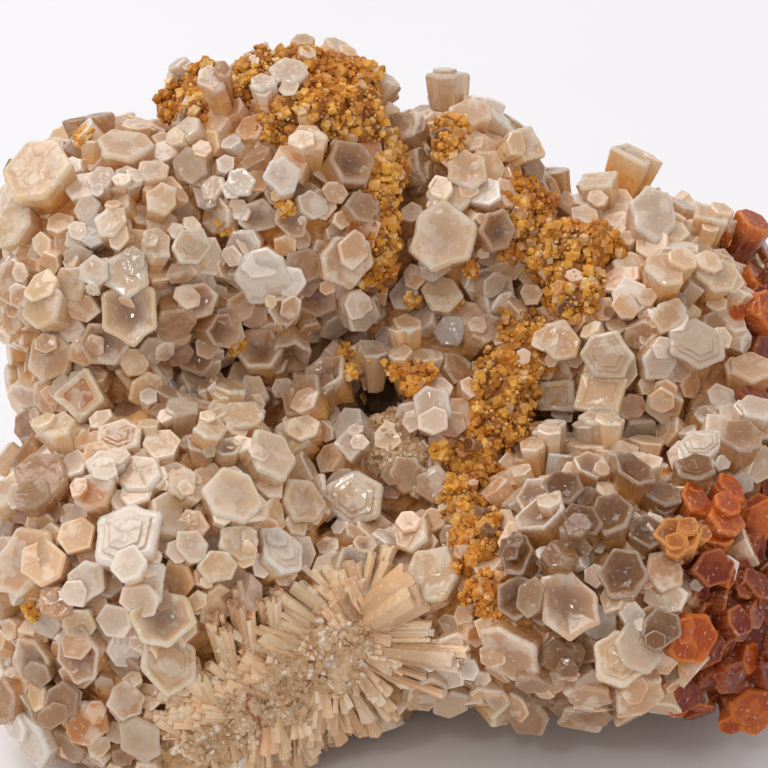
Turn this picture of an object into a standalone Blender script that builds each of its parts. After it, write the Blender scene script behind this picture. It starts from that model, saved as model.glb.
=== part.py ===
"""Aragonite specimen: intergrown rosettes of stubby six-sided prisms on a flat broken base,
with a cream broken root at the front and crumbly ochre matrix in the hollows between the rosettes.

World axes: +X right, +Y back, +Z up, origin under the middle of the specimen, base at z = 0.
Lengths are written in millimetres and scaled to metres when a mesh is made.
"""

import math

import bmesh
import bpy
from mathutils import Matrix, Vector

MM = 0.001

# Front view that the crystals are laid out in: a 768 unit square seen from the front and a little
# above. One unit is 0.11 mm at the middle of the specimen.
VIEW_SIDE = 768
VIEW_UNIT = 0.11
VIEW_TILT = math.radians(27.0)
VIEW_DISTANCE = 420.0
VIEW_MIDDLE = Vector((0.0, 0.0, 33.0))

# Middle of the specimen's outline in the layout, taken off so that the origin lies under it.
OUTLINE_MIDDLE = Vector((3.735, -4.65, 0.0))

# How far the massive inner part lies under the surface that the crystal ends reach.
CORE_DEPTH = 2.0
# Growth of a massive lump that makes up for its flat facets.
FACET_SWELL = 1.07
# How far a prism goes down into the massive part.
ROOT_LENGTH = 8.0
# Least width of a crystal that is modelled on its own.
LEAST_WIDTH = 4.5
# Clearance between the ochre matrix and the crystals round it.
MATRIX_GAP = 0.4
# Ends of prisms: how deep a dished end goes and how much narrower the foot of a prism is.
DISH_SHARE = 0.17
FOOT_SHARE = 0.8

# Rosettes as (name, column, row, y, radii): the column and row are of the middle in the front view.
LOBES = (
    ("upper_left", 135, 262, 9.0, (17.5, 18.0, 16.5)),
    ("upper_middle", 285, 205, 12.0, (15.5, 17.0, 16.5)),
    ("back_ridge", 450, 228, 15.0, (12.0, 14.0, 14.5)),
    ("back_right", 620, 325, 11.0, (18.5, 18.0, 15.5)),
    ("front_right", 600, 572, -19.0, (18.0, 19.0, 14.0)),
    ("low_right", 700, 585, -12.0, (14.0, 17.0, 12.5)),
    ("far_right", 725, 500, -2.0, (13.5, 19.0, 17.0)),
    ("lower_left", 165, 560, -15.0, (20.0, 20.0, 19.0)),
    ("foot_left", 185, 650, -19.0, (21.0, 17.0, 15.0)),
    ("foot_middle", 345, 615, -19.0, (13.0, 14.0, 12.0)),
    ("gusset", 458, 596, -18.0, (11.0, 14.0, 11.5)),
    ("waist", 400, 470, -3.0, (17.0, 13.0, 16.0)),
    ("left_side", 120, 365, 4.0, (12.5, 14.0, 12.0)),
    ("saddle", 280, 400, 7.0, (15.0, 15.0, 13.0)),
    ("nape", 430, 352, 9.0, (17.0, 13.0, 13.0)),
    ("trunk", 395, 525, 6.0, (36.0, 23.0, 21.0)),
)

FLAT = 0
DISHED = 1
STEPPED = 2
SQUARE = 3

# Crystals seen from the front as (column, row, width, kind of end).
FRONT_CRYSTALS = (
    (46, 178, 74, FLAT), (126, 148, 58, FLAT), (104, 184, 28, FLAT), (128, 182, 27, FLAT),
    (85, 207, 29, FLAT), (113, 225, 34, FLAT), (193, 134, 32, FLAT), (191, 166, 38, FLAT),
    (213, 188, 28, FLAT), (215, 215, 42, FLAT), (242, 183, 29, FLAT), (185, 244, 40, STEPPED),
    (242, 246, 36, FLAT), (152, 248, 33, FLAT), (78, 239, 27, FLAT), (282, 178, 36, FLAT),
    (311, 204, 31, STEPPED), (346, 166, 52, DISHED), (447, 198, 44, FLAT), (444, 236, 72, FLAT),
    (340, 256, 53, FLAT), (354, 205, 33, FLAT), (310, 146, 37, FLAT), (408, 167, 38, FLAT),
    (467, 170, 44, FLAT), (406, 130, 41, FLAT), (448, 84, 44, FLAT), (468, 118, 42, FLAT),
    (512, 150, 40, SQUARE), (491, 232, 42, DISHED), (393, 78, 33, FLAT), (362, 62, 37, FLAT),
    (564, 188, 32, FLAT), (624, 174, 50, SQUARE), (600, 193, 42, SQUARE), (651, 220, 56, FLAT),
    (708, 222, 44, SQUARE), (741, 238, 40, FLAT), (126, 273, 48, FLAT), (131, 309, 62, DISHED),
    (104, 339, 50, DISHED), (54, 303, 48, FLAT), (54, 352, 50, FLAT), (46, 397, 37, FLAT),
    (31, 429, 45, FLAT), (66, 441, 38, FLAT), (47, 479, 56, FLAT), (14, 315, 36, FLAT),
    (94, 396, 50, SQUARE), (142, 376, 50, SQUARE), (181, 411, 36, FLAT), (204, 441, 34, FLAT),
    (196, 300, 38, DISHED), (173, 317, 38, FLAT), (212, 322, 35, DISHED), (196, 354, 42, DISHED),
    (153, 352, 33, FLAT), (193, 381, 42, FLAT), (227, 396, 39, FLAT), (118, 435, 44, STEPPED),
    (108, 467, 36, FLAT), (140, 475, 47, FLAT), (98, 492, 40, FLAT), (181, 484, 30, FLAT),
    (228, 497, 56, FLAT), (266, 459, 56, FLAT), (242, 419, 42, FLAT), (98, 272, 32, FLAT),
    (72, 282, 40, FLAT), (23, 277, 46, FLAT), (266, 277, 62, FLAT), (285, 299, 31, DISHED),
    (317, 298, 46, DISHED), (354, 308, 41, STEPPED), (290, 340, 44, DISHED), (262, 358, 50, DISHED),
    (327, 377, 46, DISHED), (311, 401, 44, FLAT), (409, 341, 30, FLAT), (430, 411, 42, FLAT),
    (496, 293, 40, DISHED), (352, 444, 33, SQUARE), (300, 440, 44, FLAT), (358, 496, 60, STEPPED),
    (407, 473, 36, FLAT), (433, 484, 38, FLAT), (305, 500, 48, FLAT), (713, 279, 43, FLAT),
    (625, 307, 28, FLAT), (561, 340, 42, FLAT), (608, 354, 54, STEPPED), (693, 347, 58, STEPPED),
    (656, 358, 40, FLAT), (749, 370, 46, FLAT), (752, 418, 38, FLAT), (603, 391, 54, SQUARE),
    (600, 433, 43, FLAT), (556, 397, 42, SQUARE), (551, 442, 33, SQUARE), (706, 448, 43, STEPPED),
    (736, 446, 40, FLAT), (690, 476, 38, STEPPED), (630, 479, 48, DISHED), (662, 492, 37, FLAT),
    (697, 498, 38, FLAT), (725, 494, 32, FLAT), (534, 496, 37, DISHED), (567, 494, 37, DISHED),
    (589, 470, 38, DISHED), (132, 541, 72, STEPPED), (34, 560, 66, FLAT), (90, 580, 38, FLAT),
    (142, 582, 50, SQUARE), (163, 615, 60, DISHED), (168, 658, 62, STEPPED), (84, 651, 54, DISHED),
    (34, 660, 48, DISHED), (82, 619, 34, FLAT), (190, 546, 35, FLAT), (215, 566, 36, FLAT),
    (40, 737, 52, FLAT), (86, 722, 44, FLAT), (128, 697, 36, FLAT), (140, 735, 46, FLAT),
    (11, 700, 46, FLAT), (277, 552, 50, STEPPED), (432, 578, 60, FLAT), (416, 536, 42, FLAT),
    (515, 648, 60, FLAT), (546, 520, 50, DISHED), (584, 530, 38, DISHED), (613, 522, 44, DISHED),
    (645, 533, 36, DISHED), (678, 540, 46, DISHED), (723, 524, 42, FLAT), (710, 568, 40, FLAT),
    (524, 555, 38, DISHED), (624, 576, 50, DISHED), (567, 603, 64, DISHED), (618, 655, 60, STEPPED),
    (657, 625, 38, FLAT), (696, 638, 52, FLAT), (638, 690, 54, FLAT), (588, 696, 44, FLAT),
    (582, 732, 54, SQUARE), (538, 712, 46, FLAT), (630, 722, 38, FLAT), (731, 618, 30, FLAT),
    (752, 585, 36, FLAT), (722, 670, 38, FLAT), (746, 698, 48, FLAT), (690, 695, 40, FLAT),
    (64, 700, 38, FLAT), (10, 500, 46, FLAT), (16, 226, 50, FLAT), (500, 700, 44, FLAT),
    (664, 570, 40, FLAT), (560, 655, 36, FLAT), (760, 520, 44, FLAT), (762, 310, 44, FLAT),
    (662, 280, 44, FLAT), (668, 316, 36, FLAT), (160, 205, 34, FLAT), (150, 175, 30, FLAT),
    (255, 395, 34, FLAT), (640, 430, 44, FLAT), (664, 400, 40, FLAT), (482, 330, 38, FLAT),
    (520, 600, 44, DISHED), (560, 560, 36, FLAT), (236, 540, 40, FLAT), (60, 600, 36, FLAT),
)

# Long prisms bared by the break, as (column, row) of the foot, (column, row) of the end, width.
BARED_PRISMS = (
    (238, 690, 214, 606, 26), (258, 680, 238, 592, 26), (284, 662, 268, 588, 28),
    (304, 650, 304, 584, 30), (334, 640, 338, 560, 26), (352, 630, 366, 552, 26),
    (366, 628, 396, 548, 28), (372, 620, 444, 570, 56), (376, 650, 470, 656, 36),
    (378, 672, 452, 690, 30), (376, 690, 458, 724, 38), (364, 702, 420, 742, 32),
    (345, 708, 374, 758, 32), (322, 716, 346, 772, 30), (298, 726, 312, 784, 36),
    (268, 736, 274, 796, 36), (220, 720, 190, 660, 34), (232, 744, 216, 800, 40),
)
# Massive cream lumps round the point that the bared prisms spread from: column, row, radius.
BREAK_LUMPS = (
    (332, 664, 44), (288, 694, 46), (240, 722, 44), (318, 636, 30), (200, 752, 46), (352, 640, 24),
)
# Area of the break in the front view: middle and half sizes.
BREAK_MIDDLE = (300.0, 684.0)
BREAK_REACH = (112.0, 88.0)

# Crumbly ochre matrix: lumps as (column, row, radius, lift), all in front view units.
MATRIX_TOP_LEFT = (
    (176, 98, 30, 4), (204, 86, 27, 4), (194, 112, 22, -4),
)
MATRIX_TOP = (
    (258, 76, 32, 2), (306, 70, 34, 2), (354, 84, 34, 4), (322, 108, 38, 2), (360, 114, 28, 2),
    (284, 112, 30, -2),
)
MATRIX_SEAM = (
    (398, 166, 19, 0), (381, 196, 25, 0), (383, 234, 23, 0), (380, 274, 20, 0),
)
MATRIX_RIGHT = (
    (530, 202, 30, 0), (532, 240, 28, 0), (566, 250, 32, 4), (593, 240, 25, 2), (572, 288, 30, 0),
)
MATRIX_FRONT = (
    (522, 346, 31, 2), (506, 388, 33, 4), (508, 428, 31, 2), (468, 478, 26, 0), (462, 514, 23, 0),
    (474, 550, 27, 2), (486, 592, 25, 0),
)
MATRIX_KNOB = (
    (450, 130, 20, 4), (452, 150, 16, 2),
)
# Dark hollow between the rosettes: lumps cut out as (column, row, radius, depth of the middle).
HOLLOW = (
    (362, 396, 30, 1.0), (392, 400, 30, 2.5), (380, 398, 28, 6.5),
)
# Fill crystals on the rest of the rosettes: spacing and width, on the front and on the far sides.
FILL_SPACING = 9.0
FILL_WIDTH = 7.0
FAR_SPACING = 12.5
FAR_WIDTH = 9.4
# Longest free distance between joined matrix lumps, as a share of their radii.
LUMP_REACH = 0.86
# How uneven a matrix lump is.
LUMP_ROUGHNESS = 0.24
# Subdivision of a matrix lump: 1 is twenty flat facets.
LUMP_DETAIL = 1

PALE_CRYSTAL = (0.80, 0.73, 0.66)
OCHRE = (0.62, 0.34, 0.09)


def noise(number, channel):
    """Repeatable value from 0 up to 1 for a numbered thing and a channel."""
    value = math.sin(number * 12.9898 + channel * 78.233 + 0.5) * 43758.5453
    return value - math.floor(value)


def view_axes():
    """Right, up and forward of the front view."""
    right = Vector((1.0, 0.0, 0.0))
    up = Vector((0.0, math.sin(VIEW_TILT), math.cos(VIEW_TILT)))
    forward = Vector((0.0, math.cos(VIEW_TILT), -math.sin(VIEW_TILT)))
    return right, up, forward


def eye_point():
    """Point that the front view is seen from."""
    return VIEW_MIDDLE - view_axes()[2] * VIEW_DISTANCE


def sight(column, row):
    """Unit direction from the eye through a place in the front view."""
    right, up, _ = view_axes()
    across = (column - VIEW_SIDE / 2) * VIEW_UNIT
    rise = (VIEW_SIDE / 2 - row) * VIEW_UNIT
    return (VIEW_MIDDLE + right * across + up * rise - eye_point()).normalized()


def at_depth(column, row, y):
    """World point on a sight line at a given y."""
    eye = eye_point()
    line = sight(column, row)
    return eye + line * ((y - eye.y) / line.y)


def view_place(point):
    """Column and row where a world point shows in the front view."""
    right, up, forward = view_axes()
    offset = point - eye_point()
    scale = VIEW_DISTANCE / offset.dot(forward)
    column = VIEW_SIDE / 2 + offset.dot(right) * scale / VIEW_UNIT
    row = VIEW_SIDE / 2 - offset.dot(up) * scale / VIEW_UNIT
    return column, row


def rosettes():
    """Centre and radii of each rosette, out to the crystal ends."""
    return [(at_depth(col, row, y), Vector(radii)) for _, col, row, y, radii in LOBES]


def ray_hit(origin, line, centre, radii):
    """Distance along a line to the near side of an ellipsoid, or None."""
    start = Vector([(origin[k] - centre[k]) / radii[k] for k in range(3)])
    step = Vector([line[k] / radii[k] for k in range(3)])
    a = step.dot(step)
    b = start.dot(step)
    c = start.dot(start) - 1.0
    under = b * b - a * c
    if under < 0:
        return None
    return (-b - math.sqrt(under)) / a


def front_hit(column, row, shapes):
    """Point and outward normal where a sight line first meets the crystal ends."""
    eye = eye_point()
    line = sight(column, row)
    best = None
    for centre, radii in shapes:
        distance = ray_hit(eye, line, centre, radii)
        if distance is not None and (best is None or distance < best[0]):
            best = (distance, centre, radii)
    if best is None:
        nearest = min(shapes, key=lambda shape: gap_to_line(eye, line, shape))
        centre, radii = nearest
        along = (centre - eye).dot(line)
        point = eye + line * along
        outward = (point - centre).normalized()
        return centre + Vector([outward[k] * radii[k] for k in range(3)]), outward
    distance, centre, radii = best
    point = eye + line * distance
    slope = Vector([(point[k] - centre[k]) / radii[k] ** 2 for k in range(3)])
    return point, slope.normalized()


def gap_to_line(eye, line, shape):
    """How far a sight line passes outside a rosette."""
    centre, radii = shape
    along = (centre - eye).dot(line)
    closest = eye + line * along
    return (closest - centre).length - min(radii)


def inside_share(point, centre, radii):
    """Below 1 inside an ellipsoid, above 1 outside."""
    return math.sqrt(sum(((point[k] - centre[k]) / radii[k]) ** 2 for k in range(3)))


def turned(axis, number, most):
    """An axis leant by up to a given angle in a repeatable direction."""
    side = axis.orthogonal().normalized()
    side = Matrix.Rotation(noise(number, 1) * math.tau, 3, axis) @ side
    return Matrix.Rotation(noise(number, 2) * most, 3, side) @ axis


def front_crystals(shapes):
    """Measured crystals of the front: tip, axis, width, kind."""
    found = []
    for number, (column, row, width, kind) in enumerate(FRONT_CRYSTALS):
        point, outward = front_hit(column, row, shapes)
        toward = (eye_point() - point).normalized()
        axis = turned((outward * 0.75 + toward * 0.25).normalized(), number, math.radians(14))
        lift = (noise(number, 3) - 0.35) * 1.8
        tip = point + axis * lift
        found.append((tip, axis, width * VIEW_UNIT, kind, number))
    return found


def in_break(point, outward):
    """True where the broken root shows from the front."""
    if outward.dot(sight(VIEW_SIDE / 2, VIEW_SIDE / 2)) > 0:
        return False
    column, row = view_place(point)
    across = (column - BREAK_MIDDLE[0]) / BREAK_REACH[0]
    down = (row - BREAK_MIDDLE[1]) / BREAK_REACH[1]
    return across * across + down * down < 1.0


def on_ellipsoid(centre, radii, count, index):
    """Evenly spread points on an ellipsoid with their outward normals."""
    for step in range(count):
        height = 1 - 2 * (step + 0.5) / count
        ring = math.sqrt(1 - height * height)
        angle = step * math.pi * (3 - math.sqrt(5)) + index
        unit = Vector((math.cos(angle) * ring, math.sin(angle) * ring, height))
        point = centre + Vector([unit[k] * radii[k] for k in range(3)])
        slope = Vector([unit[k] / radii[k] for k in range(3)]).normalized()
        yield point, slope


def fill_crystals(shapes, taken, lumps):
    """Crystals on the rest of each rosette, clear of the measured ones and the matrix."""
    found = []
    number = 1000
    forward = view_axes()[2]
    for spacing, mean, near in ((FILL_SPACING, FILL_WIDTH, True), (FAR_SPACING, FAR_WIDTH, False)):
        for index, (centre, radii) in enumerate(shapes):
            area = 4 * math.pi * ((radii.x + radii.y + radii.z) / 3) ** 2
            count = int(area / (spacing * spacing))
            for point, slope in on_ellipsoid(centre, radii, count, index):
                number += 1
                if (slope.dot(forward) < 0.1) != near:
                    continue
                width = mean * (0.8 + 0.4 * noise(number, 4))
                if point.z < 3.0 or in_break(point, slope):
                    continue
                others = [shape for k, shape in enumerate(shapes) if k != index]
                if any(inside_share(point, *shape) < 0.99 for shape in others):
                    continue
                if any((point - tip).length < 0.46 * (width + wide)
                       for tip, _, wide, _, _ in taken + found):
                    continue
                if any((point - middle).length < radius + 0.4 * width for middle, radius in lumps):
                    continue
                axis = turned(slope, number, math.radians(18))
                tip = point + axis * ((noise(number, 5) - 0.5) * 1.8)
                kind = DISHED if noise(number, 6) < 0.35 else FLAT
                found.append((tip, axis, width, kind, number))
    return found


def bared_prisms(shapes):
    """Long prisms lying in the break: tip, axis, width, length."""
    found = []
    for number, (col_a, row_a, col_b, row_b, width) in enumerate(BARED_PRISMS):
        foot, outward = front_hit(col_a, row_a, shapes)
        end, _ = front_hit(col_b, row_b, shapes)
        foot = foot - outward * 2.2
        end = end + outward * 0.2
        axis = (end - foot).normalized()
        found.append((end, axis, width * VIEW_UNIT, (end - foot).length, 500 + number))
    return found


def matrix_lumps(rows, shapes):
    """Lump middles and radii of one matrix patch."""
    found = []
    for column, row, radius, lift in rows:
        point, outward = front_hit(column, row, shapes)
        size = radius * VIEW_UNIT
        found.append((point + outward * (lift * VIEW_UNIT - 0.45 * size), size))
        bridge(found)
    return found


def bridge(lumps):
    """Adds a lump half way where the last one doesn't reach the ones before it."""
    middle, size = lumps[-1]
    if len(lumps) == 1:
        return
    near, near_size = min(lumps[:-1], key=lambda lump: (lump[0] - middle).length - lump[1])
    if (near - middle).length > LUMP_REACH * (near_size + size):
        lumps.insert(-1, ((near + middle) / 2, (near_size + size) / 2))


def new_mesh_object(name, bm):
    """Object in the scene made from a bmesh laid out in millimetres."""
    bmesh.ops.translate(bm, vec=-OUTLINE_MIDDLE, verts=bm.verts)
    bmesh.ops.scale(bm, vec=(MM, MM, MM), verts=bm.verts)
    bmesh.ops.recalc_face_normals(bm, faces=bm.faces)
    mesh = bpy.data.meshes.new(name)
    bm.to_mesh(mesh)
    bm.free()
    made = bpy.data.objects.new(name, mesh)
    bpy.context.scene.collection.objects.link(made)
    return made


def hexagon(width, kind, number):
    """Corner angles and radii of a prism's outline."""
    sides = 4 if kind == SQUARE else 6
    radius = width / 2 / math.cos(math.pi / sides) * (0.94 if sides == 6 else 0.86)
    corners = []
    for step in range(sides):
        angle = math.tau * step / sides + (noise(number, 20 + step) - 0.5) * 0.22
        corners.append((angle, radius * (0.93 + 0.14 * noise(number, 30 + step))))
    return corners


def add_prism(bm, tip, axis, width, kind, number, length):
    """One prism with its end at tip, its foot narrower and inside the massive part."""
    side = axis.orthogonal().normalized()
    side = Matrix.Rotation(noise(number, 7) * math.tau, 3, axis) @ side
    other = axis.cross(side)
    corners = hexagon(width, kind, number)
    slant = (noise(number, 8) - 0.5) * 0.3
    top = []
    foot = []
    for angle, radius in corners:
        spread = side * math.cos(angle) + other * math.sin(angle)
        drop = axis * (slant * radius * math.cos(angle + 1.0))
        top.append(bm.verts.new(tip + spread * radius + drop))
        foot.append(bm.verts.new(tip - axis * length + spread * radius * FOOT_SHARE))
    count = len(corners)
    for step in range(count):
        after = (step + 1) % count
        bm.faces.new((foot[step], foot[after], top[after], top[step]))
    bm.faces.new(list(reversed(foot)))
    if kind == DISHED:
        hub = bm.verts.new(tip - axis * (width * DISH_SHARE))
        for step in range(count):
            bm.faces.new((top[step], top[(step + 1) % count], hub))
    else:
        bm.faces.new(top)


def prism_object(name, prism):
    """A prism as its own object, ready to be joined."""
    bm = bmesh.new()
    add_prism(bm, *prism)
    return new_mesh_object(name, bm)


def lump_object(name, centre, radii, number, rough, grow=0.0, detail=1):
    """A rough rounded lump; grow moves its whole surface outwards."""
    bm = bmesh.new()
    bmesh.ops.create_icosphere(bm, subdivisions=detail, radius=1.0)
    bmesh.ops.rotate(bm, verts=bm.verts, matrix=Matrix.Rotation(number, 3, (0.6, 0.0, 0.8)))
    for index, vert in enumerate(bm.verts):
        swell = 1 + (noise(number, 40 + index) - 0.5) * rough
        out = vert.co.normalized()
        spread = Vector([out[k] * radii[k] * swell for k in range(3)])
        vert.co = centre + spread + out * grow
    return new_mesh_object(name, bm)


def box_object(name, low, high):
    """A plain box between two corners."""
    bm = bmesh.new()
    bmesh.ops.create_cube(bm, size=1.0)
    for vert in bm.verts:
        vert.co = Vector([low[k] + (vert.co[k] + 0.5) * (high[k] - low[k]) for k in range(3)])
    return new_mesh_object(name, bm)


def gather(name, objects):
    """Puts objects into a collection of their own."""
    group = bpy.data.collections.new(name)
    bpy.context.scene.collection.children.link(group)
    for item in objects:
        bpy.context.scene.collection.objects.unlink(item)
        group.objects.link(item)
        item.hide_render = True
        item.display_type = "WIRE"
    return group


def boolean(target, group, operation):
    """Joins a collection to the target or cuts it away, then drops the collection."""
    modifier = target.modifiers.new(operation.lower(), "BOOLEAN")
    modifier.operation = operation
    modifier.solver = "EXACT"
    modifier.operand_type = "COLLECTION"
    modifier.collection = group
    graph = bpy.context.evaluated_depsgraph_get()
    mesh = bpy.data.meshes.new_from_object(target.evaluated_get(graph))
    target.modifiers.remove(modifier)
    target.data = mesh
    for item in list(group.objects):
        bpy.data.objects.remove(item, do_unlink=True)
    bpy.data.collections.remove(group)


def keep_main_body(target):
    """Tidies flat areas and leaves only the largest connected piece."""
    bm = bmesh.new()
    bm.from_mesh(target.data)
    bmesh.ops.remove_doubles(bm, verts=bm.verts, dist=0.000002)
    bmesh.ops.dissolve_degenerate(bm, edges=bm.edges, dist=0.000002)
    bmesh.ops.dissolve_limit(bm, angle_limit=math.radians(0.5), verts=bm.verts, edges=bm.edges)
    seen = set()
    pieces = []
    for vert in bm.verts:
        if vert in seen:
            continue
        stack = [vert]
        seen.add(vert)
        piece = []
        while stack:
            current = stack.pop()
            piece.append(current)
            for edge in current.link_edges:
                after = edge.other_vert(current)
                if after not in seen:
                    seen.add(after)
                    stack.append(after)
        pieces.append(piece)
    pieces.sort(key=len, reverse=True)
    for piece in pieces[1:]:
        bmesh.ops.delete(bm, geom=piece, context="VERTS")
    bmesh.ops.triangulate(bm, faces=bm.faces)
    bm.to_mesh(target.data)
    bm.free()


def finish(name, colour, roughness):
    """A plain finish with a colour and a roughness."""
    material = bpy.data.materials.new(name)
    material.use_nodes = True
    shader = material.node_tree.nodes["Principled BSDF"]
    shader.inputs["Base Color"].default_value = (*colour, 1.0)
    shader.inputs["Roughness"].default_value = roughness
    shader.inputs["Metallic"].default_value = 0.0
    return material


def build_cluster(shapes, patches):
    """The grown-together crystals on their massive root, as one closed body."""
    lumps = [lump for patch in patches for lump in patch]
    front = [crystal for crystal in front_crystals(shapes) if crystal[2] >= LEAST_WIDTH]
    fill = fill_crystals(shapes, front, lumps)
    parts = []
    for number, (centre, radii) in enumerate(shapes):
        inner = (radii - Vector((CORE_DEPTH, CORE_DEPTH, CORE_DEPTH))) * FACET_SWELL
        parts.append(lump_object(f"rosette_{number}", centre, inner, 200 + number, 0.06))
    for number, (column, row, radius) in enumerate(BREAK_LUMPS):
        point, outward = front_hit(column, row, shapes)
        size = radius * VIEW_UNIT
        middle = point - outward * (0.75 * size)
        parts.append(lump_object(f"break_{number}", middle, Vector((size, size, size)), 300 + number, 0.25))
    for tip, axis, width, kind, number in front + fill:
        parts.append(prism_object(f"prism_{number}", (tip, axis, width, kind, number, ROOT_LENGTH)))
    for tip, axis, width, length, number in bared_prisms(shapes):
        parts.append(prism_object(f"bared_{number}", (tip, axis, width, FLAT, number, length)))
    body = parts.pop(0)
    body.name = "crystal_cluster"
    boolean(body, gather("growth", parts), "UNION")
    cutters = [box_object("below", (-90, -90, -60), (90, 90, 0))]
    for number, (middle, size) in enumerate(lumps):
        cutters.append(lump_object(f"pocket_{number}", middle, Vector((size, size, size)),
                                   600 + number, LUMP_ROUGHNESS, grow=MATRIX_GAP, detail=LUMP_DETAIL))
    for number, (column, row, radius, depth) in enumerate(HOLLOW):
        point, _ = front_hit(column, row, shapes)
        size = radius * VIEW_UNIT
        middle = point + sight(column, row) * depth
        cutters.append(lump_object(f"hollow_{number}", middle, Vector((size, size, size)),
                                   700 + number, 0.3))
    boolean(body, gather("cuts", cutters), "DIFFERENCE")
    keep_main_body(body)
    body.data.materials.clear()
    body.data.materials.append(finish("frosted_aragonite", PALE_CRYSTAL, 0.35))
    return body


def build_matrix(name, lumps, first_number, material):
    """One patch of crumbly matrix as a closed body of joined lumps."""
    middle, size = lumps[0]
    body = lump_object(name, middle, Vector((size, size, size)), first_number, LUMP_ROUGHNESS,
                       detail=LUMP_DETAIL)
    rest = []
    for offset, (centre, radius) in enumerate(lumps[1:], start=1):
        rest.append(lump_object(f"{name}_{offset}", centre, Vector((radius, radius, radius)),
                                first_number + offset, LUMP_ROUGHNESS, detail=LUMP_DETAIL))
    boolean(body, gather(f"{name}_lumps", rest), "UNION")
    keep_main_body(body)
    body.data.materials.clear()
    body.data.materials.append(material)
    return body


def main():
    """Clears the scene and builds the specimen."""
    for item in list(bpy.data.objects):
        bpy.data.objects.remove(item, do_unlink=True)
    shapes = rosettes()
    named = (
        ("ochre_matrix_top_left", MATRIX_TOP_LEFT),
        ("ochre_matrix_top", MATRIX_TOP),
        ("ochre_matrix_seam", MATRIX_SEAM),
        ("ochre_matrix_right", MATRIX_RIGHT),
        ("ochre_matrix_front", MATRIX_FRONT),
        ("ochre_matrix_knob", MATRIX_KNOB),
    )
    patches = [matrix_lumps(rows, shapes) for _, rows in named]
    build_cluster(shapes, patches)
    ochre = finish("ochre_matrix", OCHRE, 0.85)
    number = 600
    for (name, _), lumps in zip(named, patches):
        build_matrix(name, lumps, number, ochre)
        number += len(lumps)


main()
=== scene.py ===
"""Aragonite specimen: frosted crystal rosettes, ochre matrix and a cream broken root, dressed in full.

Lengths are laid out in millimetres, in the same front view and with the same repeatable values as
the solids, and are scaled to metres when a mesh is made.
"""

from __future__ import annotations

import sys
import logging
import math
from dataclasses import dataclass, field
from enum import Enum
from functools import lru_cache
from typing import Iterator, Sequence

import bmesh
import bpy
import numpy as np
from mathutils import Matrix, Vector
from mathutils import noise as relief


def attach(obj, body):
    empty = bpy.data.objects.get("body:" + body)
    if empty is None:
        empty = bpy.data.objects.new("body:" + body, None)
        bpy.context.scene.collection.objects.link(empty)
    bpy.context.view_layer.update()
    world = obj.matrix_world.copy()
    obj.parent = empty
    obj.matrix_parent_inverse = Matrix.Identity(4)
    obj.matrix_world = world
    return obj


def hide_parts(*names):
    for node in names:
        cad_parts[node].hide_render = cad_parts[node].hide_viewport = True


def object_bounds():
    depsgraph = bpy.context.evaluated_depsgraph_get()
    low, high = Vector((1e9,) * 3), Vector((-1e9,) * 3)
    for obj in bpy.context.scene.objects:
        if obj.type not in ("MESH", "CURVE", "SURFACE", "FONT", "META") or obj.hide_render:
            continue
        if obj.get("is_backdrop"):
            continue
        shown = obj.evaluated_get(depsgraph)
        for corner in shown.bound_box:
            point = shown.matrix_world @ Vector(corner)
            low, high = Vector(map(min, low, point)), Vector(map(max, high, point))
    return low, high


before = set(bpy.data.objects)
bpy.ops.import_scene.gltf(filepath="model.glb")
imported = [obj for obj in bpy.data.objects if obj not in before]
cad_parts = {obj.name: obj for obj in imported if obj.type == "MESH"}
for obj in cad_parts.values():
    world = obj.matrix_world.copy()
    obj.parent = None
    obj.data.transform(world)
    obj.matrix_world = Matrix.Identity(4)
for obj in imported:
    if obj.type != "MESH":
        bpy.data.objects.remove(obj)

CAD_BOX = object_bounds()
LOG = logging.getLogger("specimen")

# Metres in a millimetre, and the point of the layout that the frame has in its middle.
MM = 0.001
OUTLINE_MIDDLE = Vector((3.735, -4.65, 0.0))
# Length of a crystal, depth of the inner part under the ends, and least width of a crystal in the solids.
PRISM_LENGTH, CORE_DEPTH, LEAST_SOLID_WIDTH = 5.0, 2.4, 4.5
# Size of a crystal's foot, as a share of its end.
FOOT_SHARE = 0.64

Point = tuple[float, float]
Colour = tuple[float, float, float]
Socket = bpy.types.NodeSocket


class EndKind(Enum):
    """How a crystal ends."""

    FLAT = "f"
    DISHED = "d"
    STEPPED = "s"
    SQUARE = "q"


class Detail(Enum):
    """How finely a prism is cut."""

    FULL = 3
    MEDIUM = 2
    SMALL = 1


class Tint(Enum):
    """Body colours of the crystals."""

    WHITE = "w"
    MILKY = "m"
    LILAC = "l"
    CREAM = "c"
    SMOKE = "s"
    UMBER = "u"
    PEACH = "p"
    AMBER = "a"
    ORANGE = "o"
    RUST = "r"

    @property
    def colour(self) -> Colour:
        """Base colour of the tint."""
        return TINT_COLOURS[self]

    @property
    def stained(self) -> bool:
        """True for the iron-stained tints."""
        return self in (Tint.ORANGE, Tint.RUST)


TINT_COLOURS: dict[Tint, Colour] = {
    Tint.WHITE: (0.98, 0.88, 0.77),
    Tint.MILKY: (0.94, 0.71, 0.48),
    Tint.LILAC: (0.90, 0.72, 0.56),
    Tint.CREAM: (0.93, 0.65, 0.37),
    Tint.SMOKE: (0.72, 0.43, 0.23),
    Tint.UMBER: (0.42, 0.19, 0.055),
    Tint.PEACH: (0.91, 0.56, 0.29),
    Tint.AMBER: (0.78, 0.32, 0.07),
    Tint.ORANGE: (0.74, 0.155, 0.008),
    Tint.RUST: (0.30, 0.038, 0.003),
}

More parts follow.
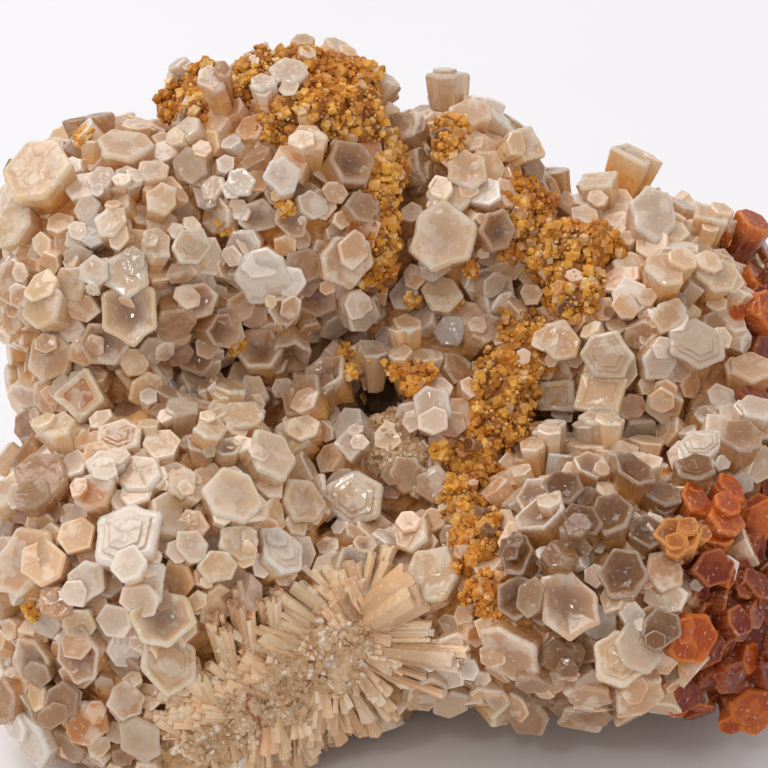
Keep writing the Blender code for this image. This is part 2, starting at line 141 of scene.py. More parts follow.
# Rosettes: name, column, row, y, radii.
ROSETTES = (
    ("upper_left", 135, 262, 9.0, (17.5, 18.0, 16.5)),
    ("upper_middle", 285, 205, 12.0, (15.5, 17.0, 16.5)),
    ("back_ridge", 450, 228, 15.0, (12.0, 14.0, 14.5)),
    ("back_right", 620, 325, 11.0, (18.5, 18.0, 15.5)),
    ("front_right", 600, 572, -19.0, (18.0, 19.0, 14.0)),
    ("low_right", 700, 585, -12.0, (14.0, 17.0, 12.5)),
    ("far_right", 725, 500, -2.0, (13.5, 19.0, 17.0)),
    ("lower_left", 165, 560, -15.0, (20.0, 20.0, 19.0)),
    ("foot_left", 185, 650, -19.0, (21.0, 17.0, 15.0)),
    ("foot_middle", 345, 615, -19.0, (13.0, 14.0, 12.0)),
    ("gusset", 458, 596, -18.0, (11.0, 14.0, 11.5)),
    ("waist", 400, 470, -3.0, (17.0, 13.0, 16.0)),
    ("left_side", 120, 365, 4.0, (12.5, 14.0, 12.0)),
    ("saddle", 280, 400, 7.0, (15.0, 15.0, 13.0)),
    ("nape", 430, 352, 9.0, (17.0, 13.0, 13.0)),
    ("trunk", 395, 525, 6.0, (36.0, 23.0, 21.0)),
)

# Crystals seen from the front: column, row, width, end, tint.
FRONT_CRYSTALS = (
    (46, 178, 74, "f", "c"), (126, 148, 58, "f", "p"), (104, 184, 28, "f", "l"),
    (128, 182, 27, "f", "l"), (85, 207, 29, "f", "l"), (113, 225, 34, "f", "m"),
    (193, 134, 32, "f", "m"), (191, 166, 38, "f", "c"), (213, 188, 28, "f", "m"),
    (215, 215, 42, "f", "s"), (242, 183, 29, "f", "w"), (185, 244, 40, "s", "m"),
    (242, 246, 36, "f", "l"), (152, 248, 33, "f", "c"), (78, 239, 27, "f", "l"),
    (282, 178, 36, "f", "w"), (311, 204, 31, "s", "l"), (346, 166, 52, "d", "s"),
    (447, 198, 44, "f", "c"), (444, 236, 72, "f", "m"), (340, 256, 53, "f", "s"),
    (354, 205, 33, "f", "s"), (310, 146, 37, "f", "p"), (408, 167, 38, "f", "s"),
    (467, 170, 44, "f", "p"), (406, 130, 41, "f", "s"), (448, 84, 44, "f", "c"),
    (468, 118, 42, "f", "p"), (512, 150, 40, "q", "c"), (491, 232, 42, "d", "s"),
    (393, 78, 33, "f", "s"), (362, 62, 37, "f", "c"), (564, 188, 32, "f", "s"),
    (624, 174, 50, "q", "c"), (600, 193, 42, "q", "c"), (651, 220, 56, "f", "l"),
    (708, 222, 44, "q", "p"), (741, 238, 40, "f", "o"), (126, 273, 48, "f", "m"),
    (131, 309, 62, "d", "c"), (104, 339, 50, "d", "s"), (54, 303, 48, "f", "c"),
    (54, 352, 50, "f", "p"), (46, 397, 37, "f", "p"), (31, 429, 45, "f", "s"),
    (66, 441, 38, "f", "c"), (47, 479, 56, "f", "s"), (14, 315, 36, "f", "p"),
    (94, 396, 50, "q", "c"), (142, 376, 50, "q", "c"), (181, 411, 36, "f", "m"),
    (204, 441, 34, "f", "c"), (196, 300, 38, "d", "s"), (173, 317, 38, "f", "s"),
    (212, 322, 35, "d", "s"), (196, 354, 42, "d", "s"), (153, 352, 33, "f", "l"),
    (193, 381, 42, "f", "c"), (227, 396, 39, "f", "c"), (118, 435, 44, "s", "p"),
    (108, 467, 36, "f", "l"), (140, 475, 47, "f", "m"), (98, 492, 40, "f", "a"),
    (181, 484, 30, "f", "p"), (228, 497, 56, "f", "m"), (266, 459, 56, "f", "m"),
    (242, 419, 42, "f", "c"), (98, 272, 32, "f", "l"), (72, 282, 40, "f", "p"),
    (23, 277, 46, "f", "s"), (266, 277, 62, "f", "w"), (285, 299, 31, "d", "s"),
    (317, 298, 46, "d", "s"), (354, 308, 41, "s", "l"), (290, 340, 44, "d", "s"),
    (262, 358, 50, "d", "p"), (327, 377, 46, "d", "s"), (311, 401, 44, "f", "s"),
    (409, 341, 30, "f", "p"), (430, 411, 42, "f", "l"), (496, 293, 40, "d", "m"),
    (352, 444, 33, "q", "l"), (300, 440, 44, "f", "c"), (358, 496, 60, "s", "m"),
    (407, 473, 36, "f", "s"), (433, 484, 38, "f", "s"), (305, 500, 48, "f", "c"),
    (713, 279, 43, "f", "c"), (625, 307, 28, "f", "p"), (561, 340, 42, "f", "p"),
    (608, 354, 54, "s", "m"), (693, 347, 58, "s", "m"), (656, 358, 40, "f", "l"),
    (749, 370, 46, "f", "p"), (752, 418, 38, "f", "l"), (603, 391, 54, "q", "c"),
    (600, 433, 43, "f", "m"), (556, 397, 42, "q", "c"), (551, 442, 33, "q", "l"),
    (706, 448, 43, "s", "w"), (736, 446, 40, "f", "s"), (690, 476, 38, "s", "s"),
    (630, 479, 48, "d", "s"), (662, 492, 37, "f", "s"), (697, 498, 38, "f", "s"),
    (725, 494, 32, "f", "l"), (534, 496, 37, "d", "c"), (567, 494, 37, "d", "s"),
    (589, 470, 38, "d", "c"), (132, 541, 72, "s", "w"), (34, 560, 66, "f", "p"),
    (90, 580, 38, "f", "l"), (142, 582, 50, "q", "l"), (163, 615, 60, "d", "c"),
    (168, 658, 62, "s", "c"), (84, 651, 54, "d", "s"), (34, 660, 48, "d", "s"),
    (82, 619, 34, "f", "c"), (190, 546, 35, "f", "l"), (215, 566, 36, "f", "c"),
    (40, 737, 52, "f", "w"), (86, 722, 44, "f", "a"), (128, 697, 36, "f", "s"),
    (140, 735, 46, "f", "c"), (11, 700, 46, "f", "s"), (277, 552, 50, "s", "w"),
    (432, 578, 60, "f", "c"), (416, 536, 42, "f", "p"), (515, 648, 60, "f", "c"),
    (546, 520, 50, "d", "c"), (584, 530, 38, "d", "s"), (613, 522, 44, "d", "s"),
    (645, 533, 36, "d", "s"), (678, 540, 46, "d", "a"), (723, 524, 42, "f", "o"),
    (710, 568, 40, "f", "p"), (524, 555, 38, "d", "s"), (624, 576, 50, "d", "s"),
    (567, 603, 64, "d", "c"), (618, 655, 60, "s", "m"), (657, 625, 38, "f", "s"),
    (696, 638, 52, "f", "o"), (638, 690, 54, "f", "p"), (588, 696, 44, "f", "c"),
    (582, 732, 54, "q", "c"), (538, 712, 46, "f", "c"), (630, 722, 38, "f", "p"),
    (731, 618, 30, "f", "l"), (752, 585, 36, "f", "l"), (722, 670, 38, "f", "r"),
    (746, 698, 48, "f", "p"), (690, 695, 40, "f", "a"), (64, 700, 38, "f", "s"),
    (10, 500, 46, "f", "c"), (16, 226, 50, "f", "c"), (500, 700, 44, "f", "c"),
    (664, 570, 40, "f", "a"), (560, 655, 36, "f", "s"), (760, 520, 44, "f", "r"),
    (762, 310, 44, "f", "o"), (662, 280, 44, "f", "p"), (668, 316, 36, "f", "p"),
    (160, 205, 34, "f", "c"), (150, 175, 30, "f", "p"), (255, 395, 34, "f", "c"),
    (640, 430, 44, "f", "c"), (664, 400, 40, "f", "p"), (482, 330, 38, "f", "s"),
    (520, 600, 44, "d", "s"), (560, 560, 36, "f", "s"), (236, 540, 40, "f", "c"),
    (60, 600, 36, "f", "a"), (290, 86, 36, "f", "l"), (268, 104, 26, "f", "l"), (222, 104, 32, "f", "s"),
    (198, 82, 24, "f", "l"), (334, 58, 32, "f", "p"), (302, 60, 24, "f", "s"), (372, 92, 28, "f", "l"),
)

# Crystals that stand well out of their neighbours: column and row, extra height.
HERO_STANDS = {
    (624, 174): 2.6, (600, 193): 1.2, (448, 84): 1.2, (512, 150): 1.0, (444, 236): 1.6, (266, 277): 0.8,
    (132, 541): 1.0, (432, 578): 0.8, (693, 347): 1.2, (741, 238): 0.8, (582, 732): 0.8, (706, 448): 0.8,
    (46, 178): 0.8, (430, 411): 1.4, (94, 396): 0.8, (340, 256): 0.6, (608, 354): 0.8,
    (290, 86): 2.9, (268, 104): 2.4, (222, 104): 2.4, (198, 82): 2.4, (334, 58): 2.3, (302, 60): 2.3,
    (372, 92): 2.4,
}

# Square crystals with an ochre heart: which ones, colours of the heart and its middle, and its rim share.
CORED_CRYSTALS = ((94, 396), (142, 376))
CORE_TINTS: tuple[Colour, Colour] = ((0.74, 0.29, 0.03), (0.55, 0.21, 0.04))
CORE_RIM = 0.58

# Measured crystals: shares of the outward direction and of the direction to the eye in their axes, largest
# lean, and how far the axes turn upwards at most.
HERO_OUTWARD, HERO_TOWARD, HERO_LEAN, HERO_RAISE = 0.82, 0.18, math.radians(19), 0.42
# Coarse crystals of the near side, then of the far side: spacing, mean width, whether it is the near side.
FILL_SIZES = ((9.0, 7.0, True), (12.5, 9.4, False))
# Lowest place of a coarse crystal, and the share of two widths that coarse tips stay apart.
FILL_FLOOR, FILL_CLEARANCE = 3.0, 0.46

# Prisms bared by the break: column and row of the foot, column and row of the end, width.
BARED_PRISMS = (
    (238, 690, 214, 606, 26), (258, 680, 238, 592, 26), (284, 662, 268, 588, 28),
    (304, 650, 304, 584, 30), (334, 640, 338, 560, 26), (352, 630, 366, 552, 26),
    (366, 628, 396, 548, 28), (372, 620, 444, 570, 56), (376, 650, 470, 656, 36),
    (378, 672, 452, 690, 30), (376, 690, 458, 724, 38), (364, 702, 420, 742, 32),
    (345, 708, 374, 758, 32), (322, 716, 346, 772, 30), (298, 726, 312, 784, 36),
    (268, 736, 274, 796, 36), (220, 720, 190, 660, 34), (232, 744, 216, 800, 40),
)

# Massive cream lumps of the break: column, row, radius.
BREAK_LUMPS = (
    (332, 664, 44), (288, 694, 46), (240, 722, 44), (318, 636, 30), (200, 752, 46), (352, 640, 24),
)

# Where the break shows: middle, and half width and half height.
BREAK_MIDDLE: Point = (300.0, 684.0)
BREAK_REACH: Point = (112.0, 88.0)

# Middle line of the broken root, and the place that its fibres spread from.
BREAK_RIDGE: tuple[Point, ...] = (
    (376.0, 612.0), (352.0, 642.0), (330.0, 668.0), (288.0, 696.0), (240.0, 724.0), (196.0, 756.0),
)
BREAK_HEART: Point = (352.0, 656.0)

# Ochre matrix patches: lumps as column, row, radius, lift.
MATRIX_PATCHES = {
    "ochre_matrix_top_left": ((176, 98, 30, 4), (204, 86, 27, 4), (194, 112, 22, -4)),
    "ochre_matrix_top": (
        (258, 76, 32, 2), (306, 70, 34, 2), (354, 84, 34, 4), (322, 108, 38, 2),
        (360, 114, 28, 2), (284, 112, 30, -2),
    ),
    "ochre_matrix_seam": ((398, 166, 19, 0), (381, 196, 25, 0), (383, 234, 23, 0), (380, 274, 20, 0)),
    "ochre_matrix_right": (
        (530, 202, 30, 0), (532, 240, 28, 0), (566, 250, 32, 4), (593, 240, 25, 2), (572, 288, 30, 0),
    ),
    "ochre_matrix_front": (
        (522, 346, 31, 2), (506, 388, 33, 4), (508, 428, 31, 2), (468, 478, 26, 0),
        (462, 514, 23, 0), (474, 550, 27, 2), (486, 592, 25, 0),
    ),
    "ochre_matrix_knob": ((450, 130, 20, 4), (452, 150, 16, 2)),
}
# Furthest that the lumps of a patch stand apart, as a share of both radii.
LUMP_REACH = 0.86

# Small loose-looking bits of matrix grown on the crystals: column, row, radius.
MATRIX_BITS = (
    (83, 137, 10), (285, 205, 9), (225, 228, 8), (236, 348, 9), (396, 144, 16), (420, 372, 16),
    (94, 398, 11), (142, 374, 10), (452, 300, 10), (470, 270, 9), (345, 352, 8), (440, 452, 9),
    (30, 612, 8), (372, 356, 9), (412, 300, 8), (506, 318, 12), (396, 366, 13), (348, 370, 9), (412, 388, 9),
)

# Balls cut out for the dark hollow: column, row, radius, depth of the middle in millimetres.
HOLLOW = ((362, 396, 30, 1.0), (392, 400, 30, 2.5), (380, 398, 28, 6.5))
# Where the hollow shows as dark: middle, half width and half height, and how far the test reaches.
HOLLOW_MIDDLE: Point = (376.0, 397.0)
HOLLOW_REACH: Point = (44.0, 29.0)
HOLLOW_NEAR = 20.0
# Crumbly cream part under the hollow: column, row, radius.
HOLLOW_SILL = ((398, 440, 30), (384, 462, 24), (412, 460, 20))

# Front view: right of the column, crystals between the rows are a tint darker and many below are smoky.
DARKER_COLUMN, DARKER_ROWS, SMOKY_ROW = 490, (455, 700), 640
DARKER = {Tint.SMOKE: Tint.UMBER, Tint.CREAM: Tint.SMOKE, Tint.MILKY: Tint.CREAM}
# Front view: right of the column and below the row most crystals are iron-stained.
STAINED_COLUMN, STAINED_ROW = 684, 485

# The same parts of the specimen in millimetres: right of x and under z, and the far right edge.
STAINED_X, STAINED_Z, EDGE_X = 31.5, 28.0, 41.0
DARKER_X, DARKER_Z, DARKER_Y = 12.0, 24.0, -4.0
# Crystals this close to the matrix are warm.
WARM_REACH = 2.6

# Mixes that a crystal's tint is picked from, each letter a Tint.
STAINED_MIX, DARKER_MIX, WARM_MIX, PALE_MIX = "rroora", "usucsp", "appcs", "mcwlpsmsc"
ROOT_MIX, SPROUT_MIX = "cmcsp", "auaas"


def chance(number: float, channel: float) -> float:
    """Repeatable value for a numbered thing.

    Args:
        number: Which thing.
        channel: Which of its values.

    Returns:
        A value from 0 up to 1.
    """
    value = math.sin(number * 12.9898 + channel * 78.233 + 0.5) * 43758.5453
    return value - math.floor(value)


def picked(mix: str, roll: float) -> Tint:
    """The tint of a mix that a value from 0 up to 1 falls on."""
    return Tint(mix[int(roll * len(mix))])


def sideways(axis: Vector, angle: float) -> Vector:
    """Unit direction across an axis, turned about it by an angle."""
    return Matrix.Rotation(angle, 3, axis) @ axis.orthogonal().normalized()


def stretched(unit: Vector, radii: Vector) -> Vector:
    """A vector stretched by the radii of a ball."""
    return Vector([unit[k] * radii[k] for k in range(3)])


def shrunk(place: Vector, radii: Vector) -> Vector:
    """A vector divided by the radii of a ball."""
    return Vector([place[k] / radii[k] for k in range(3)])


def turned(axis: Vector, number: float, most: float) -> Vector:
    """Leans an axis by up to a given angle.

    Args:
        axis: Unit direction.
        number: Which thing it belongs to.
        most: Largest lean in radians.

    Returns:
        The leant direction.
    """
    side = sideways(axis, chance(number, 1) * math.tau)
    return Matrix.Rotation(chance(number, 2) * most, 3, side) @ axis


@dataclass(frozen=True)
class Rosette:
    """A ball of crystals, out to the crystal ends."""

    centre: Vector
    radii: Vector

    @classmethod
    def ball(cls, centre: Vector, size: float) -> Rosette:
        """A rosette with the same radius all round."""
        return cls(centre, Vector((size, size, size)))

    def share(self, point: Vector) -> float:
        """Below 1 inside the rosette, above 1 outside."""
        return math.sqrt(sum(((point[k] - self.centre[k]) / self.radii[k]) ** 2 for k in range(3)))

    def spread(self, count: int, turn: float) -> Iterator[tuple[Vector, Vector]]:
        """Evenly spread points on the rosette.

        Args:
            count: How many points.
            turn: Start angle in radians.

        Returns:
            Each point with its outward direction.
        """
        for step in range(count):
            height = 1 - 2 * (step + 0.5) / count
            ring = math.sqrt(1 - height * height)
            angle = step * math.pi * (3 - math.sqrt(5)) + turn
            unit = Vector((math.cos(angle) * ring, math.sin(angle) * ring, height))
            yield self.centre + stretched(unit, self.radii), shrunk(unit, self.radii).normalized()


@dataclass(frozen=True)
class FrontView:
    """Front view that the crystals are laid out in."""

    side: float = 768.0
    unit: float = 0.11
    tilt: float = math.radians(27.0)
    distance: float = 420.0
    height: float = 33.0

    @property
    def middle(self) -> Vector:
        """Point that the view is aimed at."""
        return Vector((0.0, 0.0, self.height))

    @property
    def right(self) -> Vector:
        """Direction to the right of the view."""
        return Vector((1.0, 0.0, 0.0))

    @property
    def up(self) -> Vector:
        """Direction upwards in the view."""
        return Vector((0.0, math.sin(self.tilt), math.cos(self.tilt)))

    @property
    def forward(self) -> Vector:
        """Direction away from the eye."""
        return Vector((0.0, math.cos(self.tilt), -math.sin(self.tilt)))

    @property
    def eye(self) -> Vector:
        """Point that the view is seen from."""
        return self.middle - self.forward * self.distance

    def sight(self, column: float, row: float) -> Vector:
        """Unit direction from the eye through a place in the view."""
        across = (column - self.side / 2) * self.unit
        rise = (self.side / 2 - row) * self.unit
        return (self.middle + self.right * across + self.up * rise - self.eye).normalized()

    def at_depth(self, column: float, row: float, y: float) -> Vector:
        """Point on a sight line at a given y."""
        line = self.sight(column, row)
        return self.eye + line * ((y - self.eye.y) / line.y)

    def place(self, point: Vector) -> Point:
        """Column and row where a point shows."""
        offset = point - self.eye
        scale = self.distance / offset.dot(self.forward)
        column = self.side / 2 + offset.dot(self.right) * scale / self.unit
        return column, self.side / 2 - offset.dot(self.up) * scale / self.unit


@dataclass(frozen=True)
class Crystal:
    """One prism: where it ends, which way it grew and how it looks."""

    tip: Vector
    axis: Vector
    width: float
    length: float
    kind: EndKind
    number: float
    tint: Tint
    cored: bool = False


@dataclass
class Layout:
    """Places of all crystals, lumps and hollows, shared with the solids."""

    view: FrontView = field(default_factory=FrontView)
    rosettes: list[Rosette] = field(default_factory=list)
    patches: dict[str, list[tuple[Vector, float]]] = field(default_factory=dict)
    hollows: list[tuple[Vector, float]] = field(default_factory=list)

    def __post_init__(self) -> None:
        """Places the rosettes, the matrix lumps and the hollow."""
        for _, column, row, y, radii in ROSETTES:
            self.rosettes.append(Rosette(self.view.at_depth(column, row, y), Vector(radii)))
        for name, rows in MATRIX_PATCHES.items():
            self.patches[name] = self.matrix_lumps(rows)
        for column, row, radius, depth in HOLLOW:
            point, _ = self.hit(column, row)
            middle = point + self.view.sight(column, row) * depth
            self.hollows.append((middle, radius * self.view.unit))

    @property
    def lumps(self) -> list[tuple[Vector, float]]:
        """All matrix lumps."""
        return [lump for patch in self.patches.values() for lump in patch]

    def hit(self, column: float, row: float) -> tuple[Vector, Vector]:
        """Finds where a sight line first meets the crystal ends.

        Args:
            column: Column in the front view.
            row: Row in the front view.

        Returns:
            The point and the outward direction there.
        """
        eye = self.view.eye
        line = self.view.sight(column, row)
        best: tuple[float, Rosette] | None = None
        for rosette in self.rosettes:
            distance = self.ray(eye, line, rosette)
            if distance is not None and (best is None or distance < best[0]):
                best = (distance, rosette)
        if best is None:
            return self.nearest(eye, line)
        distance, rosette = best
        point = eye + line * distance
        slope = Vector([(point[k] - rosette.centre[k]) / rosette.radii[k] ** 2 for k in range(3)])
        return point, slope.normalized()

    @staticmethod
    def ray(origin: Vector, line: Vector, rosette: Rosette) -> float | None:
        """Distance along a line to the near side of a rosette, or None."""
        start = Vector([(origin[k] - rosette.centre[k]) / rosette.radii[k] for k in range(3)])
        step = shrunk(line, rosette.radii)
        a, b, c = step.dot(step), start.dot(step), start.dot(start) - 1.0
        under = b * b - a * c
        return None if under < 0 else (-b - math.sqrt(under)) / a

    def nearest(self, eye: Vector, line: Vector) -> tuple[Vector, Vector]:
        """Point and outward direction on the rosette that a sight line passes closest to."""
        def gap(rosette: Rosette) -> float:
            """How far the line passes outside a rosette."""
            along = (rosette.centre - eye).dot(line)
            return (eye + line * along - rosette.centre).length - min(rosette.radii)
        rosette = min(self.rosettes, key=gap)
        along = (rosette.centre - eye).dot(line)
        outward = (eye + line * along - rosette.centre).normalized()
        return rosette.centre + stretched(outward, rosette.radii), outward

    def matrix_lumps(self, rows: Sequence[Sequence[float]]) -> list[tuple[Vector, float]]:
        """Middles and radii of the lumps of one patch, bridged where they don't reach.

        Args:
            rows: Column, row, radius and lift of each lump.

        Returns:
            Middle and radius of each lump.
        """
        found: list[tuple[Vector, float]] = []
        for column, row, radius, lift in rows:
            point, outward = self.hit(column, row)
            size = radius * self.view.unit
            middle = point + outward * (lift * self.view.unit - 0.45 * size)
            found.append((middle, size))
            if len(found) > 1:
                near, near_size = min(found[:-1], key=lambda lump: (lump[0] - middle).length - lump[1])
                if (near - middle).length > LUMP_REACH * (near_size + size):
                    found.insert(-1, ((near + middle) / 2, (near_size + size) / 2))
        return found

    def shows_in(self, point: Vector, middle: Point, reach: Point) -> bool:
        """True where a point shows inside an oval of the front view."""
        column, row = self.view.place(point)
        across = (column - middle[0]) / reach[0]
        down = (row - middle[1]) / reach[1]
        return across * across + down * down < 1.0

    def in_break(self, point: Vector, outward: Vector) -> bool:
        """True where the broken root shows from the front."""
        away = outward.dot(self.view.sight(self.view.side / 2, self.view.side / 2)) > 0
        return not away and self.shows_in(point, BREAK_MIDDLE, BREAK_REACH)

    def in_hollow(self, point: Vector, grow: float = 1.0) -> bool:
        """True inside the dark hollow, or inside the same balls grown a little."""
        return any((point - middle).length < size * grow for middle, size in self.hollows)

    def hides_hollow(self, point: Vector) -> bool:
        """True where something at a point would stand in front of the hollow."""
        far = (point - self.hollows[1][0]).length > HOLLOW_NEAR
        return not far and self.shows_in(point, HOLLOW_MIDDLE, HOLLOW_REACH)

    def buried(self, point: Vector, index: int, share: float = 0.99) -> bool:
        """True where a point of one rosette lies inside another."""
        return any(r.share(point) < share for k, r in enumerate(self.rosettes) if k != index)

    def near_matrix(self, point: Vector) -> float:
        """Distance from a point to the nearest matrix lump."""
        return min((point - middle).length - size for middle, size in self.lumps)

    def heroes(self) -> list[Crystal]:
        """Crystals read one by one from the front."""
        found = []
        for number, (column, row, width, kind, tint) in enumerate(FRONT_CRYSTALS):
            point, outward = self.hit(column, row)
            toward = (self.view.eye - point).normalized()
            axis = turned((outward * HERO_OUTWARD + toward * HERO_TOWARD).normalized(), number, HERO_LEAN)
            stand = 0.3 + 1.5 * chance(number, 202) ** 1.5 + HERO_STANDS.get((column, row), 0.0)
            tip = point + axis * ((chance(number, 3) - 0.35) * 1.8 + stand)
            axis = (axis + Vector((0.0, 0.0, HERO_RAISE * chance(number, 203)))).normalized()
            body = self.front_tint(column, row, number, Tint(tint))
            found.append(Crystal(tip, axis, width * self.view.unit, PRISM_LENGTH + stand, EndKind(kind),
                                 number, body, (column, row) in CORED_CRYSTALS))
        return found

    @staticmethod
    def front_tint(column: float, row: float, number: float, tint: Tint) -> Tint:
        """Tint of a measured crystal, darker low on the right and stained at the right edge."""
        if column > DARKER_COLUMN and DARKER_ROWS[0] < row < DARKER_ROWS[1]:
            tint = DARKER.get(tint, tint)
        elif column > DARKER_COLUMN and row > SMOKY_ROW and chance(number, 209) < 0.5:
            tint = Tint.SMOKE
        if column > STAINED_COLUMN and row > STAINED_ROW and chance(number, 204) < 0.8:
            tint = Tint.ORANGE if chance(number, 205) < 0.55 else Tint.RUST
        return tint

    def fill(self, heroes: list[Crystal]) -> list[Crystal]:
        """Coarse crystals on the rest of each rosette, as the solids have them.

        Args:
            heroes: The measured crystals.

        Returns:
            The fill crystals.
        """
        found: list[Crystal] = []
        solid = [crystal for crystal in heroes if crystal.width >= LEAST_SOLID_WIDTH]
        lumps = self.lumps
        number = 1000
        for spacing, mean, near in FILL_SIZES:
            for index, rosette in enumerate(self.rosettes):
                area = 4 * math.pi * (sum(rosette.radii) / 3) ** 2
                for point, slope in rosette.spread(int(area / (spacing * spacing)), index):
                    number += 1
                    width = mean * (0.8 + 0.4 * chance(number, 4))
                    if (slope.dot(self.view.forward) < 0.1) != near:
                        continue
                    if point.z < FILL_FLOOR or self.in_break(point, slope) or self.buried(point, index):
                        continue
                    if any((point - c.tip).length < FILL_CLEARANCE * (width + c.width) for c in solid + found):
                        continue
                    if any((point - middle).length < size + 0.4 * width for middle, size in lumps):
                        continue
                    axis = turned(slope, number, math.radians(18))
                    tip = point + axis * ((chance(number, 5) - 0.5) * 1.8)
                    kind = EndKind.DISHED if chance(number, 6) < 0.35 else EndKind.FLAT
                    tint = self.tint_at(point, number)
                    found.append(Crystal(tip, axis, width, PRISM_LENGTH, kind, number, tint))
        return found

    def tint_at(self, point: Vector, number: float) -> Tint:
        """Tint of a crystal from where it grew.

        Args:
            point: Place in the layout.
            number: Which crystal.

        Returns:
            A tint: stained at the right edge, darker low on the right, warm beside the matrix, pale elsewhere.
        """
        roll = chance(number, 60)
        edge = (chance(number, 61) - 0.5) * 5.0
        if (point.x > STAINED_X + edge and point.z < STAINED_Z + edge) or point.x > EDGE_X + edge:
            return picked(STAINED_MIX, roll)
        if point.x > DARKER_X + edge and point.z < DARKER_Z + edge and point.y < DARKER_Y:
            return picked(DARKER_MIX, roll)
        return picked(WARM_MIX if self.near_matrix(point) < WARM_REACH else PALE_MIX, roll)


@dataclass
class MeshBatch:
    """Vertices, faces and per-vertex values of one piece, in layout millimetres."""

    name: str
    points: list[Vector] = field(default_factory=list)
    faces: list[tuple[int, ...]] = field(default_factory=list)
    smooth: list[bool] = field(default_factory=list)
    tints: list[Colour] = field(default_factory=list)
    grains: list[tuple[float, float, float]] = field(default_factory=list)
    places: list[tuple[float, float, float]] = field(default_factory=list)

    def vertex(self, point: Vector, tint: Colour, grain: Sequence[float], place: Sequence[float]) -> int:
        """Adds a vertex.

        Args:
            point: Position.
            tint: Body colour.
            grain: Position along the crystal's own axes.
            place: Rim share, depth share and hollowness; on stone the first is the lit share, below 1 where
                painted shade is blended in.

        Returns:
            The vertex's index.
        """
        self.points.append(point)
        self.tints.append(tint)
        self.grains.append((grain[0], grain[1], grain[2]))
        self.places.append((place[0], place[1], place[2]))
        return len(self.points) - 1

    def face(self, corners: Sequence[int], smooth: bool = False) -> None:
        """Adds a face."""
        self.faces.append(tuple(corners))
        self.smooth.append(smooth)

    def triangles(self) -> int:
        """Number of triangles that the faces make."""
        return sum(len(corners) - 2 for corners in self.faces)

    def make(self, material: bpy.types.Material) -> bpy.types.Object:
        """Makes the piece.

        Args:
            material: Finish of the piece.

        Returns:
            The object, riding on the specimen's body.
        """
        places = (np.array([tuple(p) for p in self.points]) - np.array(OUTLINE_MIDDLE)) * MM
        places[:, 2] = np.maximum(places[:, 2], 0.0)
        mesh = bpy.data.meshes.new(self.name)
        mesh.from_pydata(places.tolist(), [], self.faces)
        mesh.polygons.foreach_set("use_smooth", self.smooth)
        colours = np.ones((len(self.points), 4))
        colours[:, :3] = np.array(self.tints)
        mesh.attributes.new("tint", "FLOAT_COLOR", "POINT").data.foreach_set("color", colours.ravel())
        for label, values in (("grain", self.grains), ("place", self.places)):
            layer = mesh.attributes.new(label, "FLOAT_VECTOR", "POINT")
            layer.data.foreach_set("vector", np.array(values, dtype=float).ravel())
        mesh.materials.append(material)
        mesh.update()
        piece = bpy.data.objects.new(self.name, mesh)
        bpy.context.scene.collection.objects.link(piece)
        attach(piece, "root")
        LOG.info("%s: %d triangles", self.name, self.triangles())
        return piece


def varied(colour: Colour, number: float, amount: float = 0.07) -> Colour:
    """A colour made a little lighter or darker and warmer or cooler for one crystal."""
    light = 1 + (chance(number, 70) - 0.5) * 2 * amount
    warm = (chance(number, 71) - 0.5) * amount
    return (min(colour[0] * (light + warm), 1.0), min(colour[1] * light, 1.0),
            min(colour[2] * (light - warm), 1.0))


